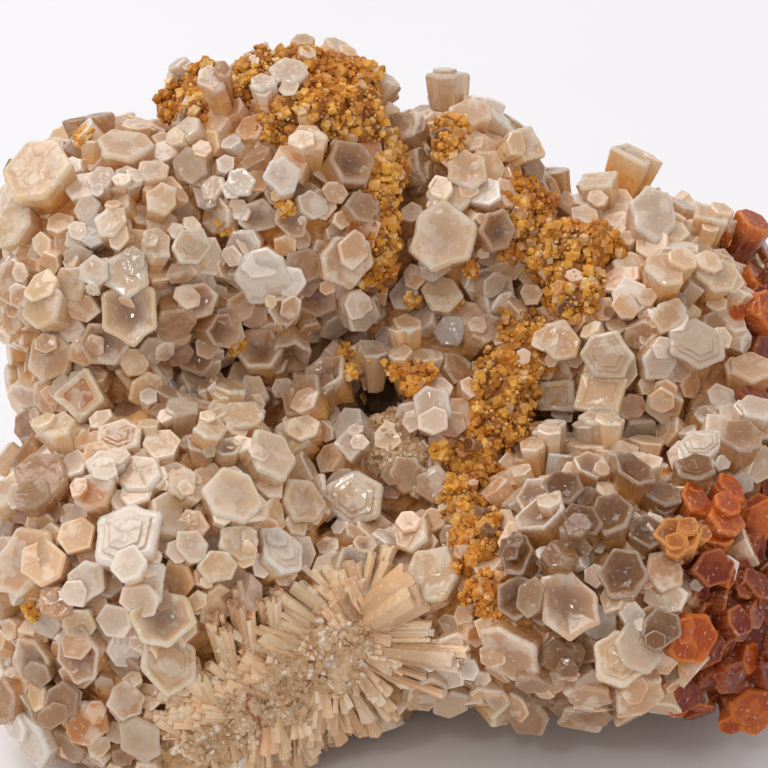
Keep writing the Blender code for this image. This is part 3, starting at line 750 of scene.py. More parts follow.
@dataclass
class PrismForm:
    """Cuts one prism, with bevelled edges, growth grooves and a finished end."""

    crystal: Crystal
    detail: Detail = Detail.FULL
    foot_share: float = FOOT_SHARE
    ragged: float = 0.0
    warmth: float = 1.0

    # Rings of each kind of end from its rim inwards: scale, and height as a share of the width.
    END_RINGS = {
        EndKind.FLAT: ((0.93, -0.028), (0.86, 0.0), (0.62, 0.004), (0.34, -0.004)),
        EndKind.DISHED: ((0.95, -0.02), (0.87, 0.0), (0.76, -0.025), (0.58, -0.10), (0.38, -0.16),
                         (0.18, -0.185)),
        EndKind.STEPPED: ((0.94, -0.022), (0.85, 0.0), (0.71, 0.0), (0.67, 0.035), (0.50, 0.035),
                          (0.46, 0.07), (0.27, 0.075)),
        EndKind.SQUARE: ((0.94, -0.025), (0.87, 0.0), (0.60, -0.008), (0.54, -0.03), (0.25, -0.02)),
    }

    def corners(self) -> list[Point]:
        """Corners of the prism's outline, around the solid's and a little less even."""
        crystal = self.crystal
        sides = 4 if crystal.kind is EndKind.SQUARE else 6
        radius = crystal.width / 2 / math.cos(math.pi / sides) * (0.94 if sides == 6 else 0.86)
        stretch = 0.88 + 0.26 * chance(crystal.number, 206) if sides == 6 else 1.0
        found = []
        for step in range(sides):
            angle = math.tau * step / sides + (chance(crystal.number, 20 + step) - 0.5) * 0.34
            reach = radius * (0.90 + 0.18 * chance(crystal.number, 30 + step))
            found.append((math.cos(angle) * reach * stretch, math.sin(angle) * reach / stretch))
        return found

    def outline(self) -> list[Point]:
        """Outline with its edges bevelled and a shallow groove in each side."""
        corners = self.corners()
        if self.detail is Detail.SMALL:
            return corners
        found = []
        for step, corner in enumerate(corners):
            before = corners[step - 1]
            after = corners[(step + 1) % len(corners)]
            cut = 0.05 + 0.05 * chance(self.crystal.number, 80 + step)
            for other in (before, after):
                found.append((corner[0] + (other[0] - corner[0]) * cut,
                              corner[1] + (other[1] - corner[1]) * cut))
            if self.detail is Detail.FULL:
                place = 0.34 + 0.32 * chance(self.crystal.number, 90 + step)
                groove = 1 - 0.07 * chance(self.crystal.number, 100 + step) ** 2
                found.append(((corner[0] + (after[0] - corner[0]) * place) * groove,
                              (corner[1] + (after[1] - corner[1]) * place) * groove))
        return found

    def rings(self) -> list[tuple[float, float, float, float]]:
        """Rings from the foot to the middle of the end: scale, place along the axis, rim, depth."""
        crystal = self.crystal
        length, width = crystal.length, crystal.width
        if self.detail is Detail.FULL:
            depths = [length, 0.55 * length, 0.26 * length, 0.08 * width]
        elif self.detail is Detail.MEDIUM:
            depths = [length, 0.35 * length, 0.07 * width]
        else:
            depths = [length, 0.06 * width]
        found = []
        for step, depth in enumerate(depths):
            scale = 1 - (1 - self.foot_share) * depth / length
            scale *= 1 + (chance(crystal.number, 110 + step) - 0.5) * 0.035
            found.append((scale, -depth, 1.0, min(depth / PRISM_LENGTH, 1.0) * self.warmth))
        ends = self.END_RINGS[crystal.kind]
        if self.detail is Detail.MEDIUM:
            ends = (ends[0], ends[1], ends[-1]) if crystal.kind is not EndKind.DISHED else (
                ends[0], ends[1], ends[3], ends[5])
        elif self.detail is Detail.SMALL:
            ends = ((0.92, 0.0),)
        for scale, lift in ends:
            found.append((scale, lift * width, scale, 0.0))
        return found

    def add_to(self, batch: MeshBatch) -> None:
        """Adds the prism to a batch."""
        crystal = self.crystal
        axis = crystal.axis
        side = sideways(axis, chance(crystal.number, 7) * math.tau)
        other = axis.cross(side)
        slant = (chance(crystal.number, 8) - 0.5) * 0.42
        outline = self.outline()
        tint = varied(crystal.tint.colour, crystal.number)
        dished = crystal.kind is EndKind.DISHED
        # Hollowness sets how much painted shade the finish puts in the middle of the end: full for dished ends, a
        # little at random for others.
        hollow = 1.0 if dished else 0.45 * chance(crystal.number, 9) ** 1.5
        shift = (crystal.number * 3.7) % 97.0
        rough = 0.0 if dished else min(0.007, 0.03 / crystal.width)
        loops: list[list[int]] = []
        rings = self.rings()
        lean = math.cos(1.0), math.sin(1.0)
        for level, (scale, along, rim, depth) in enumerate(rings):
            loop = []
            fade = 1 - min(-along / crystal.length, 1.0) if along < 0 else 1.0
            near_end = along >= -0.1 * crystal.width
            body = CORE_TINTS[0] if crystal.cored and rim < CORE_RIM else tint
            for step, (x, y) in enumerate(outline):
                x, y = x * scale, y * scale
                drop = slant * (x * lean[0] - y * lean[1]) * fade
                jitter = (chance(crystal.number + level * 7.1, 120 + step) - 0.5) * 2 * rough * crystal.width
                if level < 2:
                    jitter = 0.0
                ragged = self.ragged * (chance(crystal.number, 150 + step) - 0.5) if near_end else 0.0
                height = along + drop + jitter + ragged
                point = crystal.tip + side * x + other * y + axis * height
                loop.append(batch.vertex(point, body, (x + shift, y, height), (rim, depth, hollow)))
            loops.append(loop)
        count = len(outline)
        batch.face(list(reversed(loops[0])))
        for level in range(len(loops) - 1):
            inner = dished and rings[level][2] < 0.9 and self.detail is not Detail.SMALL
            for step in range(count):
                after = (step + 1) % count
                batch.face((loops[level][step], loops[level][after], loops[level + 1][after],
                            loops[level + 1][step]), smooth=inner)
        scale, along = rings[-1][0], rings[-1][1]
        lift = along + (chance(crystal.number, 10) - 0.5) * rough * crystal.width
        hub = batch.vertex(crystal.tip + axis * lift, CORE_TINTS[1] if crystal.cored else tint,
                           (shift, 0.0, along), (0.0, 0.0, hollow))
        for step in range(count):
            batch.face((loops[-1][step], loops[-1][(step + 1) % count], hub), smooth=dished)


@lru_cache(maxsize=None)
def ball(level: int) -> tuple[tuple[tuple[float, float, float], ...], tuple[tuple[int, ...], ...]]:
    """Points and faces of a unit ball made of triangles.

    Args:
        level: Subdivision level; 1 has twenty faces.

    Returns:
        The points and the faces.
    """
    bm = bmesh.new()
    bmesh.ops.create_icosphere(bm, subdivisions=level, radius=1.0)
    points = tuple(tuple(vert.co) for vert in bm.verts)
    faces = tuple(tuple(vert.index for vert in poly.verts) for poly in bm.faces)
    bm.free()
    return points, faces


# Rim share, depth share and hollowness of a vertex that is out in the open; on stone the first is the lit share,
# and 1 keeps the painted hollow shade off.
OPEN_PLACE = (1.0, 0.0, 0.0)


@dataclass(frozen=True)
class Rubble:
    """Rough lumps and angular grains."""

    roughness: float = 0.2
    bump_size: float = 1.6

    def swell(self, place: Vector, number: float) -> float:
        """How far a lump bulges at a place, as a share of its radius."""
        return self.roughness * relief.noise(place * (1.1 / self.bump_size) + Vector((number, 0, 0)))

    def lump(self, batch: MeshBatch, middle: Vector, size: float, level: int, tint: Colour,
             number: float) -> None:
        """Adds a lump with a broken surface.

        Args:
            batch: Piece that it joins.
            middle: Middle of the lump.
            size: Radius.
            level: Subdivision of the lump.
            tint: Colour.
            number: Which lump.
        """
        points, faces = ball(level)
        first = len(batch.points)
        for point in points:
            out = Vector(point)
            where = middle + out * size
            fine = relief.noise(where * (3.1 / self.bump_size))
            place = middle + out * (size * (1 + self.swell(where, number)) + 0.32 * fine)
            batch.vertex(place, tint, place, OPEN_PLACE)
        for face in faces:
            batch.face([first + k for k in face])

    def grain(self, batch: MeshBatch, middle: Vector, size: float, tint: Colour, number: float) -> None:
        """Adds one small angular grain.

        Args:
            batch: Piece that it joins.
            middle: Middle of the grain.
            size: Half its length.
            tint: Colour.
            number: Which grain.
        """
        spin = Matrix.Rotation(chance(number, 1) * math.tau, 3, Vector((
            chance(number, 2) - 0.5, chance(number, 3) - 0.5, chance(number, 4) - 0.45)).normalized())
        if chance(number, 5) < 0.55:
            corners = [Vector((x, y, z)) * 0.72 for x in (-1, 1) for y in (-1, 1) for z in (-1, 1)]
            faces = ((0, 1, 3, 2), (4, 6, 7, 5), (0, 4, 5, 1), (2, 3, 7, 6), (0, 2, 6, 4), (1, 5, 7, 3))
        else:
            points, faces = ball(1)
            corners = [Vector(point) for point in points]
        first = len(batch.points)
        stretch = 0.7 + 0.6 * chance(number, 6)
        for index, corner in enumerate(corners):
            scale = size * (0.78 + 0.44 * chance(number, 10 + index))
            place = middle + spin @ Vector((corner.x * stretch, corner.y, corner.z)) * scale
            batch.vertex(place, tint, place, OPEN_PLACE)
        for face in faces:
            batch.face([first + k for k in face])


@dataclass
class NodeBoard:
    """Short ways to place and join shader nodes."""

    tree: bpy.types.NodeTree

    def add(self, kind: str, **values: object) -> bpy.types.Node:
        """Places a node and sets its properties."""
        node = self.tree.nodes.new(kind)
        for name, value in values.items():
            setattr(node, name, value)
        return node

    def feed(self, socket: Socket, value: object) -> None:
        """Links a socket to another, or sets its value."""
        if isinstance(value, Socket):
            self.tree.links.new(value, socket)
        else:
            socket.default_value = value

    def math(self, operation: str, first: object, second: object = 0.0) -> Socket:
        """Result of a sum on one or two values."""
        node = self.add("ShaderNodeMath", operation=operation)
        self.feed(node.inputs[0], first)
        self.feed(node.inputs[1], second)
        return node.outputs[0]

    def mix(self, factor: object, low: object, high: object, blend: str = "MIX") -> Socket:
        """Mix of two colours."""
        node = self.add("ShaderNodeMix", data_type="RGBA", blend_type=blend, clamp_factor=True)
        self.feed(node.inputs[0], factor)
        self.feed(node.inputs[6], (*low, 1.0) if isinstance(low, tuple) else low)
        self.feed(node.inputs[7], (*high, 1.0) if isinstance(high, tuple) else high)
        return node.outputs[2]

    def span(self, value: object, start: object, end: object, low: float = 0.0, high: float = 1.0) -> Socket:
        """Value moved smoothly from one range to another."""
        node = self.add("ShaderNodeMapRange", interpolation_type="SMOOTHSTEP")
        for socket, item in zip(node.inputs[:5], (value, start, end, low, high)):
            self.feed(socket, item)
        return node.outputs[0]

    def field(self, vector: object, scale: object, detail: float = 3.0, rough: float = 0.55) -> Socket:
        """Cloudy value that changes through space."""
        node = self.add("ShaderNodeTexNoise")
        self.feed(node.inputs["Vector"], vector)
        self.feed(node.inputs["Scale"], scale)
        self.feed(node.inputs["Detail"], detail)
        self.feed(node.inputs["Roughness"], rough)
        return node.outputs["Fac"]

    def attribute(self, name: str) -> bpy.types.Node:
        """Per-vertex values of the mesh."""
        return self.add("ShaderNodeAttribute", attribute_name=name)

    def axes(self, vector: object) -> Sequence[Socket]:
        """The three parts of a vector."""
        parts = self.add("ShaderNodeSeparateXYZ")
        self.feed(parts.inputs[0], vector)
        return parts.outputs

    def bump(self, shader: bpy.types.Node, height: object, strength: float, distance: float) -> None:
        """Gives a shader a relief."""
        node = self.add("ShaderNodeBump")
        node.inputs["Strength"].default_value = strength
        node.inputs["Distance"].default_value = distance
        self.feed(node.inputs["Height"], height)
        self.feed(shader.inputs["Normal"], node.outputs[0])

    def place_group(self, tree: bpy.types.NodeTree, **inputs: object) -> bpy.types.Node:
        """Places a node group with its own values."""
        node = self.add("ShaderNodeGroup")
        node.node_tree = tree
        for name, value in inputs.items():
            self.feed(node.inputs[name], value)
        return node


def new_group(name: str, inputs: Sequence[tuple[str, str, object]],
              outputs: Sequence[tuple[str, str]]) -> tuple[NodeBoard, bpy.types.Node, bpy.types.Node]:
    """Starts a shader node group with named sockets.

    Args:
        name: Name of the group.
        inputs: Name, socket type and default value of each input.
        outputs: Name and socket type of each output.

    Returns:
        The board of the group, its input node and its output node.
    """
    tree = bpy.data.node_groups.new(name, "ShaderNodeTree")
    for label, kind, value in inputs:
        socket = tree.interface.new_socket(name=label, in_out="INPUT", socket_type=kind)
        if value is not None:
            socket.default_value = value
    for label, kind in outputs:
        tree.interface.new_socket(name=label, in_out="OUTPUT", socket_type=kind)
    board = NodeBoard(tree)
    return board, board.add("NodeGroupInput"), board.add("NodeGroupOutput")


@dataclass
class Effects:
    """Node groups that more than one finish uses."""

    clouds: bpy.types.NodeTree = field(init=False)
    growth: bpy.types.NodeTree = field(init=False)
    painted_glints: bpy.types.NodeTree = field(init=False)
    sugar: bpy.types.NodeTree = field(init=False)

    def __post_init__(self) -> None:
        """Builds each group once."""
        self.clouds = self.build_clouds()
        self.growth = self.build_growth()
        self.painted_glints = self.build_painted_glints()
        self.sugar = self.build_sugar()

    @staticmethod
    def build_painted_glints() -> bpy.types.NodeTree:
        """Painted glints: tiny pale flecks on the crystals that stand in for sparkle."""
        board, start, end = new_group(
            "painted_glint_flecks",
            (("Vector", "NodeSocketVector", None), ("Scale", "NodeSocketFloat", 2300.0)),
            (("Spark", "NodeSocketFloat"),),
        )
        board.feed(end.inputs["Spark"], board.span(
            board.field(start.outputs["Vector"], start.outputs["Scale"], 0.0), 0.68, 0.80))
        return board.tree

    @staticmethod
    def build_clouds() -> bpy.types.NodeTree:
        """Milky clouds: a soft mask between two levels of noise."""
        board, start, end = new_group(
            "milky_clouds",
            (("Vector", "NodeSocketVector", None), ("Scale", "NodeSocketFloat", 300.0),
             ("Low", "NodeSocketFloat", 0.4), ("High", "NodeSocketFloat", 0.65)),
            (("Mask", "NodeSocketFloat"),),
        )
        noise = board.field(start.outputs["Vector"], start.outputs["Scale"], 2.0, 0.5)
        board.feed(end.inputs["Mask"], board.span(noise, start.outputs["Low"], start.outputs["High"]))
        return board.tree

    @staticmethod
    def build_growth() -> bpy.types.NodeTree:
        """Growth lines that run along a crystal's axis."""
        board, start, end = new_group(
            "growth_lines",
            (("Vector", "NodeSocketVector", None), ("Across", "NodeSocketFloat", 2.6),
             ("Along", "NodeSocketFloat", 0.16)),
            (("Height", "NodeSocketFloat"), ("Mask", "NodeSocketFloat")),
        )
        joined = board.add("ShaderNodeCombineXYZ")
        for socket, part, rate in zip(joined.inputs, board.axes(start.outputs["Vector"]),
                                      ("Across", "Across", "Along")):
            board.feed(socket, board.math("MULTIPLY", part, start.outputs[rate]))
        lines = board.field(joined.outputs[0], 1.0, 2.0, 0.62)
        board.feed(end.inputs["Height"], lines)
        board.feed(end.inputs["Mask"], board.span(lines, 0.38, 0.62))
        return board.tree

    @staticmethod
    def build_sugar() -> bpy.types.NodeTree:
        """Fine sugary grains with a few brighter ones."""
        board, start, end = new_group(
            "sugar_grain",
            (("Vector", "NodeSocketVector", None), ("Scale", "NodeSocketFloat", 2500.0)),
            (("Height", "NodeSocketFloat"), ("Spark", "NodeSocketFloat")),
        )
        cells = board.add("ShaderNodeTexVoronoi")
        board.feed(cells.inputs["Vector"], start.outputs["Vector"])
        board.feed(cells.inputs["Scale"], start.outputs["Scale"])
        shade = board.add("ShaderNodeSeparateColor")
        board.feed(shade.inputs[0], cells.outputs["Color"])
        board.feed(end.inputs["Height"], board.math("ADD", shade.outputs[0],
                                                    board.math("MULTIPLY", cells.outputs["Distance"], -0.6)))
        board.feed(end.inputs["Spark"], board.span(shade.outputs[1], 0.86, 0.97))
        return board.tree


def new_material(name: str) -> tuple[NodeBoard, bpy.types.Material, bpy.types.Node]:
    """Starts a material.

    Args:
        name: Name of the material.

    Returns:
        The board, the material and its shader.
    """
    material = bpy.data.materials.new(name)
    material.use_nodes = True
    return NodeBoard(material.node_tree), material, material.node_tree.nodes["Principled BSDF"]


@dataclass(frozen=True)
class CrystalFinish:
    """Frosted see-through crystal, warmer and darker towards its root, partly its own colour and partly painted
    shade; with painted shade in the middles of its ends, and painted highlights on upward faces, along end rims
    and as tiny glints.
    """

    name: str
    transmission: float = 0.26
    ior: float = 1.53
    smooth_rough: float = 0.14
    frosted_rough: float = 0.38
    frost: Colour = (0.99, 0.86, 0.71)
    frost_share: float = 0.62
    # Warm colour towards the foot: partly the crystal's own tone, partly painted shade between the crystals.
    root: Colour = (0.92, 0.47, 0.13)
    root_share: float = 0.95
    # Painted shade: colour of the middle of hollow ends.
    middle: Colour = (0.32, 0.15, 0.06)
    # Painted shade: the middle of each end face is multiplied by this colour, by the share below.
    glassy: Colour = (0.70, 0.58, 0.47)
    end_shade_share: float = 0.6
    # Painted highlight: the rims of the end faces are blended towards this paler colour.
    rim: Colour = (0.98, 0.86, 0.73)
    painted_rim_highlight_share: float = 0.4
    # Painted highlight: faces that point upwards are blended towards this paler colour, standing in for light
    # from above.
    painted_top_light: Colour = (0.99, 0.82, 0.65)
    painted_top_light_share: float = 0.36
    pale: float = 0.0
    scatter: float = 0.5
    gloss: float = 0.45
    shine: float = 0.5
    white: Colour = (1.0, 0.95, 0.88)
    streak: Colour = (0.62, 0.38, 0.20)
    # Painted glints: colour and share of the tiny pale flecks.
    spark: Colour = (1.0, 0.94, 0.88)
    painted_glint_share: float = 0.3

    def make(self, effects: Effects) -> bpy.types.Material:
        """Builds the material.

        Args:
            effects: Shared node groups.

        Returns:
            The material.
        """
        board, material, shader = new_material(self.name)
        tint = board.attribute("tint").outputs["Color"]
        grain = board.attribute("grain").outputs["Vector"]
        rim, depth, hollow = board.axes(board.attribute("place").outputs["Vector"])
        where = board.add("ShaderNodeTexCoord").outputs["Object"]
        clouds = board.place_group(effects.clouds, Vector=where, Scale=430.0, Low=0.44, High=0.64)
        lines = board.place_group(effects.growth, Vector=grain, Across=2.6, Along=0.2)
        painted_glints = board.place_group(effects.painted_glints, Vector=where, Scale=2300.0)
        milk = board.math("MULTIPLY", clouds.outputs["Mask"], self.frost_share)
        colour = board.mix(self.pale, tint, self.white)
        colour = board.mix(milk, colour, self.frost)
        # Painted highlight: upward-facing faces are made paler, as if lit from above.
        upward = board.axes(board.add("ShaderNodeNewGeometry").outputs["Normal"])[2]
        painted_top_light_mask = board.math("MULTIPLY", board.span(upward, 0.35, 0.95), self.painted_top_light_share)
        colour = board.mix(painted_top_light_mask, colour, self.painted_top_light)
        # Painted shade: the middle of each end face is darkened, standing in for the dim inside seen through the
        # crystal.
        ends = board.math("MULTIPLY", board.span(rim, 0.90, 0.70),
                          board.span(clouds.outputs["Mask"], 0.0, 1.0, 1.0, 0.45))
        colour = board.mix(board.math("MULTIPLY", ends, self.end_shade_share), colour, self.glassy, "MULTIPLY")
        # Painted shade: the middle of each end is darkened by its hollowness, most in dished ends.
        inner = board.math("MULTIPLY", board.span(rim, 0.86, 0.1), hollow)
        colour = board.mix(board.math("MULTIPLY", inner, 0.85), colour, self.middle)
        # Warmer and darker towards the foot: partly the crystal's own warm colour, partly painted shade between
        # the crystals.
        deep = board.math("MULTIPLY", board.span(depth, 0.02, 0.6), self.root_share)
        patch = board.span(board.field(where, 90.0, 0.0), 0.35, 0.65, 0.7, 1.15)
        colour = board.mix(board.math("MULTIPLY", deep, patch), colour, self.root)
        streak = board.math("MULTIPLY", lines.outputs["Mask"], board.span(rim, 0.94, 0.99, 0.04, 0.2))
        colour = board.mix(streak, colour, self.streak)
        # Painted highlight: a pale band along the rim of each end face, standing in for light caught at the
        # edges.
        edge = board.math("MULTIPLY", board.span(rim, 0.78, 0.92), board.span(depth, 0.12, 0.0))
        edge = board.math("MULTIPLY", edge, board.span(patch, 0.75, 1.1, 0.15, 1.0))
        colour = board.mix(board.math("MULTIPLY", edge, self.painted_rim_highlight_share), colour, self.rim)
        # Painted glints: tiny pale flecks mixed in as sparkle.
        colour = board.mix(board.math("MULTIPLY", painted_glints.outputs["Spark"], self.painted_glint_share), colour, self.spark)
        board.feed(shader.inputs["Base Color"], colour)
        rough = board.span(clouds.outputs["Mask"], 0.0, 1.0, self.smooth_rough, self.frosted_rough)
        board.feed(shader.inputs["Roughness"], rough)
        sides = board.span(rim, 0.94, 0.99, 0.10, 1.0)
        height = board.math("ADD", board.math("MULTIPLY", lines.outputs["Height"], sides),
                            board.math("MULTIPLY", clouds.outputs["Mask"], 0.9))
        board.bump(shader, height, 0.5, 0.0003)
        shader.inputs["Transmission Weight"].default_value = self.transmission
        shader.inputs["IOR"].default_value = self.ior
        shader.inputs["Specular IOR Level"].default_value = self.shine
        if self.scatter > 0:
            shader.inputs["Subsurface Weight"].default_value = self.scatter
            shader.inputs["Subsurface Radius"].default_value = (0.92, 0.96, 1.0)
            shader.inputs["Subsurface Scale"].default_value = 0.0016
        shader.inputs["Coat Weight"].default_value = self.gloss
        shader.inputs["Coat Roughness"].default_value = 0.09
        return material


@dataclass(frozen=True)
class StoneFinish:
    """Matt granular stone: the ochre matrix, the cream broken root and the massive inner part."""

    name: str
    light: Colour
    dark: Colour
    stain: Colour
    stain_share: float
    rough: float = 0.8
    bump: float = 0.7
    scale: float = 420.0
    transmission: float = 0.0
    spark: float = 0.3
    grain: Colour = (0.98, 0.90, 0.78)
    # Painted shade: near-black colour that stone takes where its lit share is low, as in the hollow.
    painted_hollow_shade: Colour = (0.045, 0.014, 0.004)
    rust: Colour = (0.22, 0.045, 0.018)
    rust_side: bool = False
    split: Colour = (0.45, 0.16, 0.08)
    crack: bool = False

    def make(self, effects: Effects) -> bpy.types.Material:
        """Builds the material.

        Args:
            effects: Shared node groups.

        Returns:
            The material.
        """
        board, material, shader = new_material(self.name)
        where = board.add("ShaderNodeTexCoord").outputs["Object"]
        tint = board.attribute("tint").outputs["Color"]
        fine = board.place_group(effects.clouds, Vector=where, Scale=self.scale, Low=0.36, High=0.66)
        wide = board.place_group(effects.clouds, Vector=where, Scale=self.scale * 0.3, Low=0.45, High=0.62)
        sugar = board.place_group(effects.sugar, Vector=where, Scale=self.scale * 5.0)
        colour = board.mix(fine.outputs["Mask"], self.dark, self.light)
        colour = board.mix(0.6, colour, tint)
        colour = board.mix(board.math("MULTIPLY", wide.outputs["Mask"], self.stain_share), colour, self.stain)
        if self.rust_side:
            colour = self.add_rust(board, where, colour)
        if self.crack:
            colour = self.add_crack(board, where, colour)
        colour = board.mix(board.math("MULTIPLY", sugar.outputs["Spark"], self.spark), colour, self.grain)
        # Painted shade: a low lit share blends the colour towards the near-black hollow shade.
        lit = board.axes(board.attribute("place").outputs["Vector"])[0]
        board.feed(shader.inputs["Base Color"], board.mix(lit, self.painted_hollow_shade, colour))
        rough = board.span(fine.outputs["Mask"], 0.0, 1.0, self.rough, self.rough - 0.2)
        board.feed(shader.inputs["Roughness"], rough)
        height = board.math("ADD", fine.outputs["Mask"], board.math("MULTIPLY", sugar.outputs["Height"], 0.5))
        board.bump(shader, height, self.bump, 0.0006)
        shader.inputs["Transmission Weight"].default_value = self.transmission
        shader.inputs["IOR"].default_value = 1.5
        return material

    def add_rust(self, board: NodeBoard, where: Socket, colour: Socket) -> Socket:
        """Dark rust low on the right of the specimen.

        Args:
            board: Board of the material.
            where: Position in metres.
            colour: Colour so far.

        Returns:
            The colour with the rust on it.
        """
        x, _, z = board.axes(where)
        side = board.span(x, 0.024, 0.034)
        low = board.span(z, 0.034, 0.022)
        return board.mix(board.math("MULTIPLY", side, low), colour, self.rust)

    def add_crack(self, board: NodeBoard, where: Socket, colour: Socket) -> Socket:
        """A fine reddish crack that wanders down the broken root.

        Args:
            board: Board of the material.
            where: Position in metres.
            colour: Colour so far.

        Returns:
            The colour with the crack on it.
        """
        x, _, z = board.axes(where)
        wander = board.math("MULTIPLY", board.math("SUBTRACT", board.field(where, 260.0, 3.0), 0.5), 0.004)
        line = board.math("ADD", board.math("ADD", x, board.math("MULTIPLY", z, 0.26)), wander)
        off = board.math("ABSOLUTE", board.math("SUBTRACT", line, -0.0145))
        near = board.span(off, 0.00028, 0.00008)
        low = board.span(z, 0.019, 0.015)
        return board.mix(board.math("MULTIPLY", near, low), colour, self.split)


@dataclass
class CrystalField:
    """All prisms of the rosettes: measured ones, bundles in place of the coarse ones, and small ones."""

    layout: Layout
    small_spacing: float = 3.1
    clearance: float = 0.27
    batches: dict[str, MeshBatch] = field(default_factory=dict)
    tips: np.ndarray = field(default_factory=lambda: np.zeros((20000, 4)))
    count: int = 0

    def batch(self, name: str) -> MeshBatch:
        """The batch of a piece, started where needed."""
        return self.batches.setdefault(name, MeshBatch(name))

    def piece_name(self, crystal: Crystal, small: bool) -> str:
        """Which piece a crystal belongs to.

        Args:
            crystal: The crystal.
            small: Whether it is one of the small ones between.

        Returns:
            Name of the piece.
        """
        place = crystal.tip
        far = crystal.axis.dot(self.layout.view.forward) > 0.1
        if crystal.tint.stained or (crystal.tint is Tint.AMBER and place.x > 30):
            return "stained_crystals"
        smoky = crystal.tint is Tint.SMOKE and chance(crystal.number, 207) < 0.4
        if not far and (crystal.tint is Tint.UMBER or smoky):
            return "clear_crystals"
        pale = crystal.tint in (Tint.WHITE, Tint.MILKY, Tint.CREAM)
        if not far and pale and chance(crystal.number, 208) < 0.2:
            return "glassy_crystals"
        if small:
            return "small_crystals_far" if far else "small_crystals_front"
        if far:
            return "far_crystals"
        if place.x > 12:
            return "right_crystals"
        return "upper_crystals" if place.z > 32 else "lower_left_crystals"

    def record(self, crystal: Crystal) -> None:
        """Keeps a crystal's tip and width, so that others stay clear of it."""
        self.tips[self.count] = (*crystal.tip, crystal.width)
        self.count += 1

    def clear(self, crystal: Crystal) -> bool:
        """True where a new crystal would stay clear of those recorded."""
        known = self.tips[:self.count]
        apart = np.linalg.norm(known[:, :3] - tuple(crystal.tip), axis=1)
        return bool((apart - self.clearance * (known[:, 3] + crystal.width) > 0).all())

    def add(self, crystal: Crystal, detail: Detail, small: bool = False) -> None:
        """Adds a crystal to its piece."""
        PrismForm(crystal, detail).add_to(self.batch(self.piece_name(crystal, small)))
        self.record(crystal)

    def bundle(self, coarse: Crystal) -> Iterator[Crystal]:
        """Thinner crystals that together fill a coarse one.

        Args:
            coarse: The coarse crystal.

        Returns:
            Each thinner crystal.
        """
        number = coarse.number * 1.37
        far = coarse.width > 8.0
        around = 5 if far else 3
        share = 0.42 if far else 0.56
        reach = 0.36 if far else 0.29
        side = sideways(coarse.axis, chance(number, 41) * math.tau)
        turns = [math.tau * step / around + (chance(number, 42 + step) - 0.5) * 0.5 for step in range(around)]
        places = [(Matrix.Rotation(turn, 3, coarse.axis) @ side) * coarse.width * reach for turn in turns]
        if far:
            places.append(Vector((0.0, 0.0, 0.0)))
        for step, offset in enumerate(places):
            own = number + 0.613 * step
            axis = turned((coarse.axis + offset * 0.05).normalized(), own, math.radians(17))
            width = coarse.width * share * (0.74 + 0.5 * chance(own, 51))
            tip = coarse.tip + offset + axis * ((chance(own, 52) - 0.55) * 2.8)
            kind = EndKind.DISHED if chance(own, 53) < 0.3 else EndKind.FLAT
            if chance(own, 54) < 0.14:
                kind = EndKind.STEPPED
            yield Crystal(tip, axis, width, PRISM_LENGTH, kind, own, self.layout.tint_at(tip, own))

    def satellites(self, host: Crystal) -> Iterator[Crystal]:
        """Smaller crystals on a larger one: first twins beside its end, then ones that lean out below it.

        Args:
            host: The larger crystal.

        Returns:
            Each smaller crystal.
        """
        base = host.number * 5.3 + 3000.0
        for step in range(int(2.6 * chance(base, 21))):
            own = base + 40.0 + step
            side = sideways(host.axis, chance(own, 12) * math.tau)
            axis = (host.axis + side * (0.03 + 0.16 * chance(own, 13))).normalized()
            width = host.width * (0.42 + 0.34 * chance(own, 14))
            tip = host.tip + side * (host.width * (0.24 + 0.2 * chance(own, 22)))
            tip += host.axis * (1.5 * chance(own, 15) - 0.75)
            kind = EndKind.STEPPED if chance(own, 23) < 0.25 else EndKind.FLAT
            yield Crystal(tip, axis, width, 4.2, kind, own, host.tint)
        for step in range(int(3.2 * chance(base, 11))):
            own = base + step
            side = sideways(host.axis, chance(own, 12) * math.tau)
            lean = math.radians(16 + 36 * chance(own, 13))
            axis = (host.axis * math.cos(lean) + side * math.sin(lean)).normalized()
            width = host.width * (0.30 + 0.28 * chance(own, 14))
            below = host.axis * (host.width * (0.25 + 0.6 * chance(own, 15)))
            edge = host.tip + side * (host.width * 0.42) - below
            tint = host.tint if chance(own, 16) < 0.5 else self.layout.tint_at(edge, own)
            yield Crystal(edge + axis * (width * 0.55), axis, width, 3.5, EndKind.FLAT, own, tint)

    def sprouts(self) -> Iterator[Crystal]:
        """Small warm crystals that grow through the matrix."""
        for index, (middle, size) in enumerate(self.layout.lumps):
            for step, (point, slope) in enumerate(Rosette.ball(middle, size).spread(26, index)):
                own = 7000.0 + index * 31.0 + step
                if chance(own, 17) < 0.8 or slope.dot(self.layout.view.forward) > 0.3:
                    continue
                axis = turned(slope, own, math.radians(35))
                width = 0.9 + 1.3 * chance(own, 18)
                tip = point + axis * (0.6 * chance(own, 20))
                yield Crystal(tip, axis, width, 3.0, EndKind.FLAT, own, picked(SPROUT_MIX, chance(own, 19)))

    def small(self) -> Iterator[Crystal]:
        """Small crystals on the rest of each rosette, a little lower than the others."""
        layout = self.layout
        number = 9000
        for index, rosette in enumerate(layout.rosettes):
            area = 4 * math.pi * (sum(rosette.radii) / 3) ** 2
            for point, slope in rosette.spread(int(area / self.small_spacing ** 2), index + 0.4):
                number += 1
                if point.z < 1.0 or layout.in_break(point, slope) or layout.buried(point, index):
                    continue
                if layout.near_matrix(point) < -0.6 or layout.in_hollow(point) or layout.hides_hollow(point):
                    continue
                width = 2.2 + 2.2 * chance(number, 4)
                axis = turned(slope, number, math.radians(34))
                tip = point + axis * (0.2 - 2.4 * chance(number, 5))
                if not layout.hides_hollow(tip):
                    yield Crystal(tip, axis, width, 5.0, EndKind.FLAT, number, layout.tint_at(point, number))

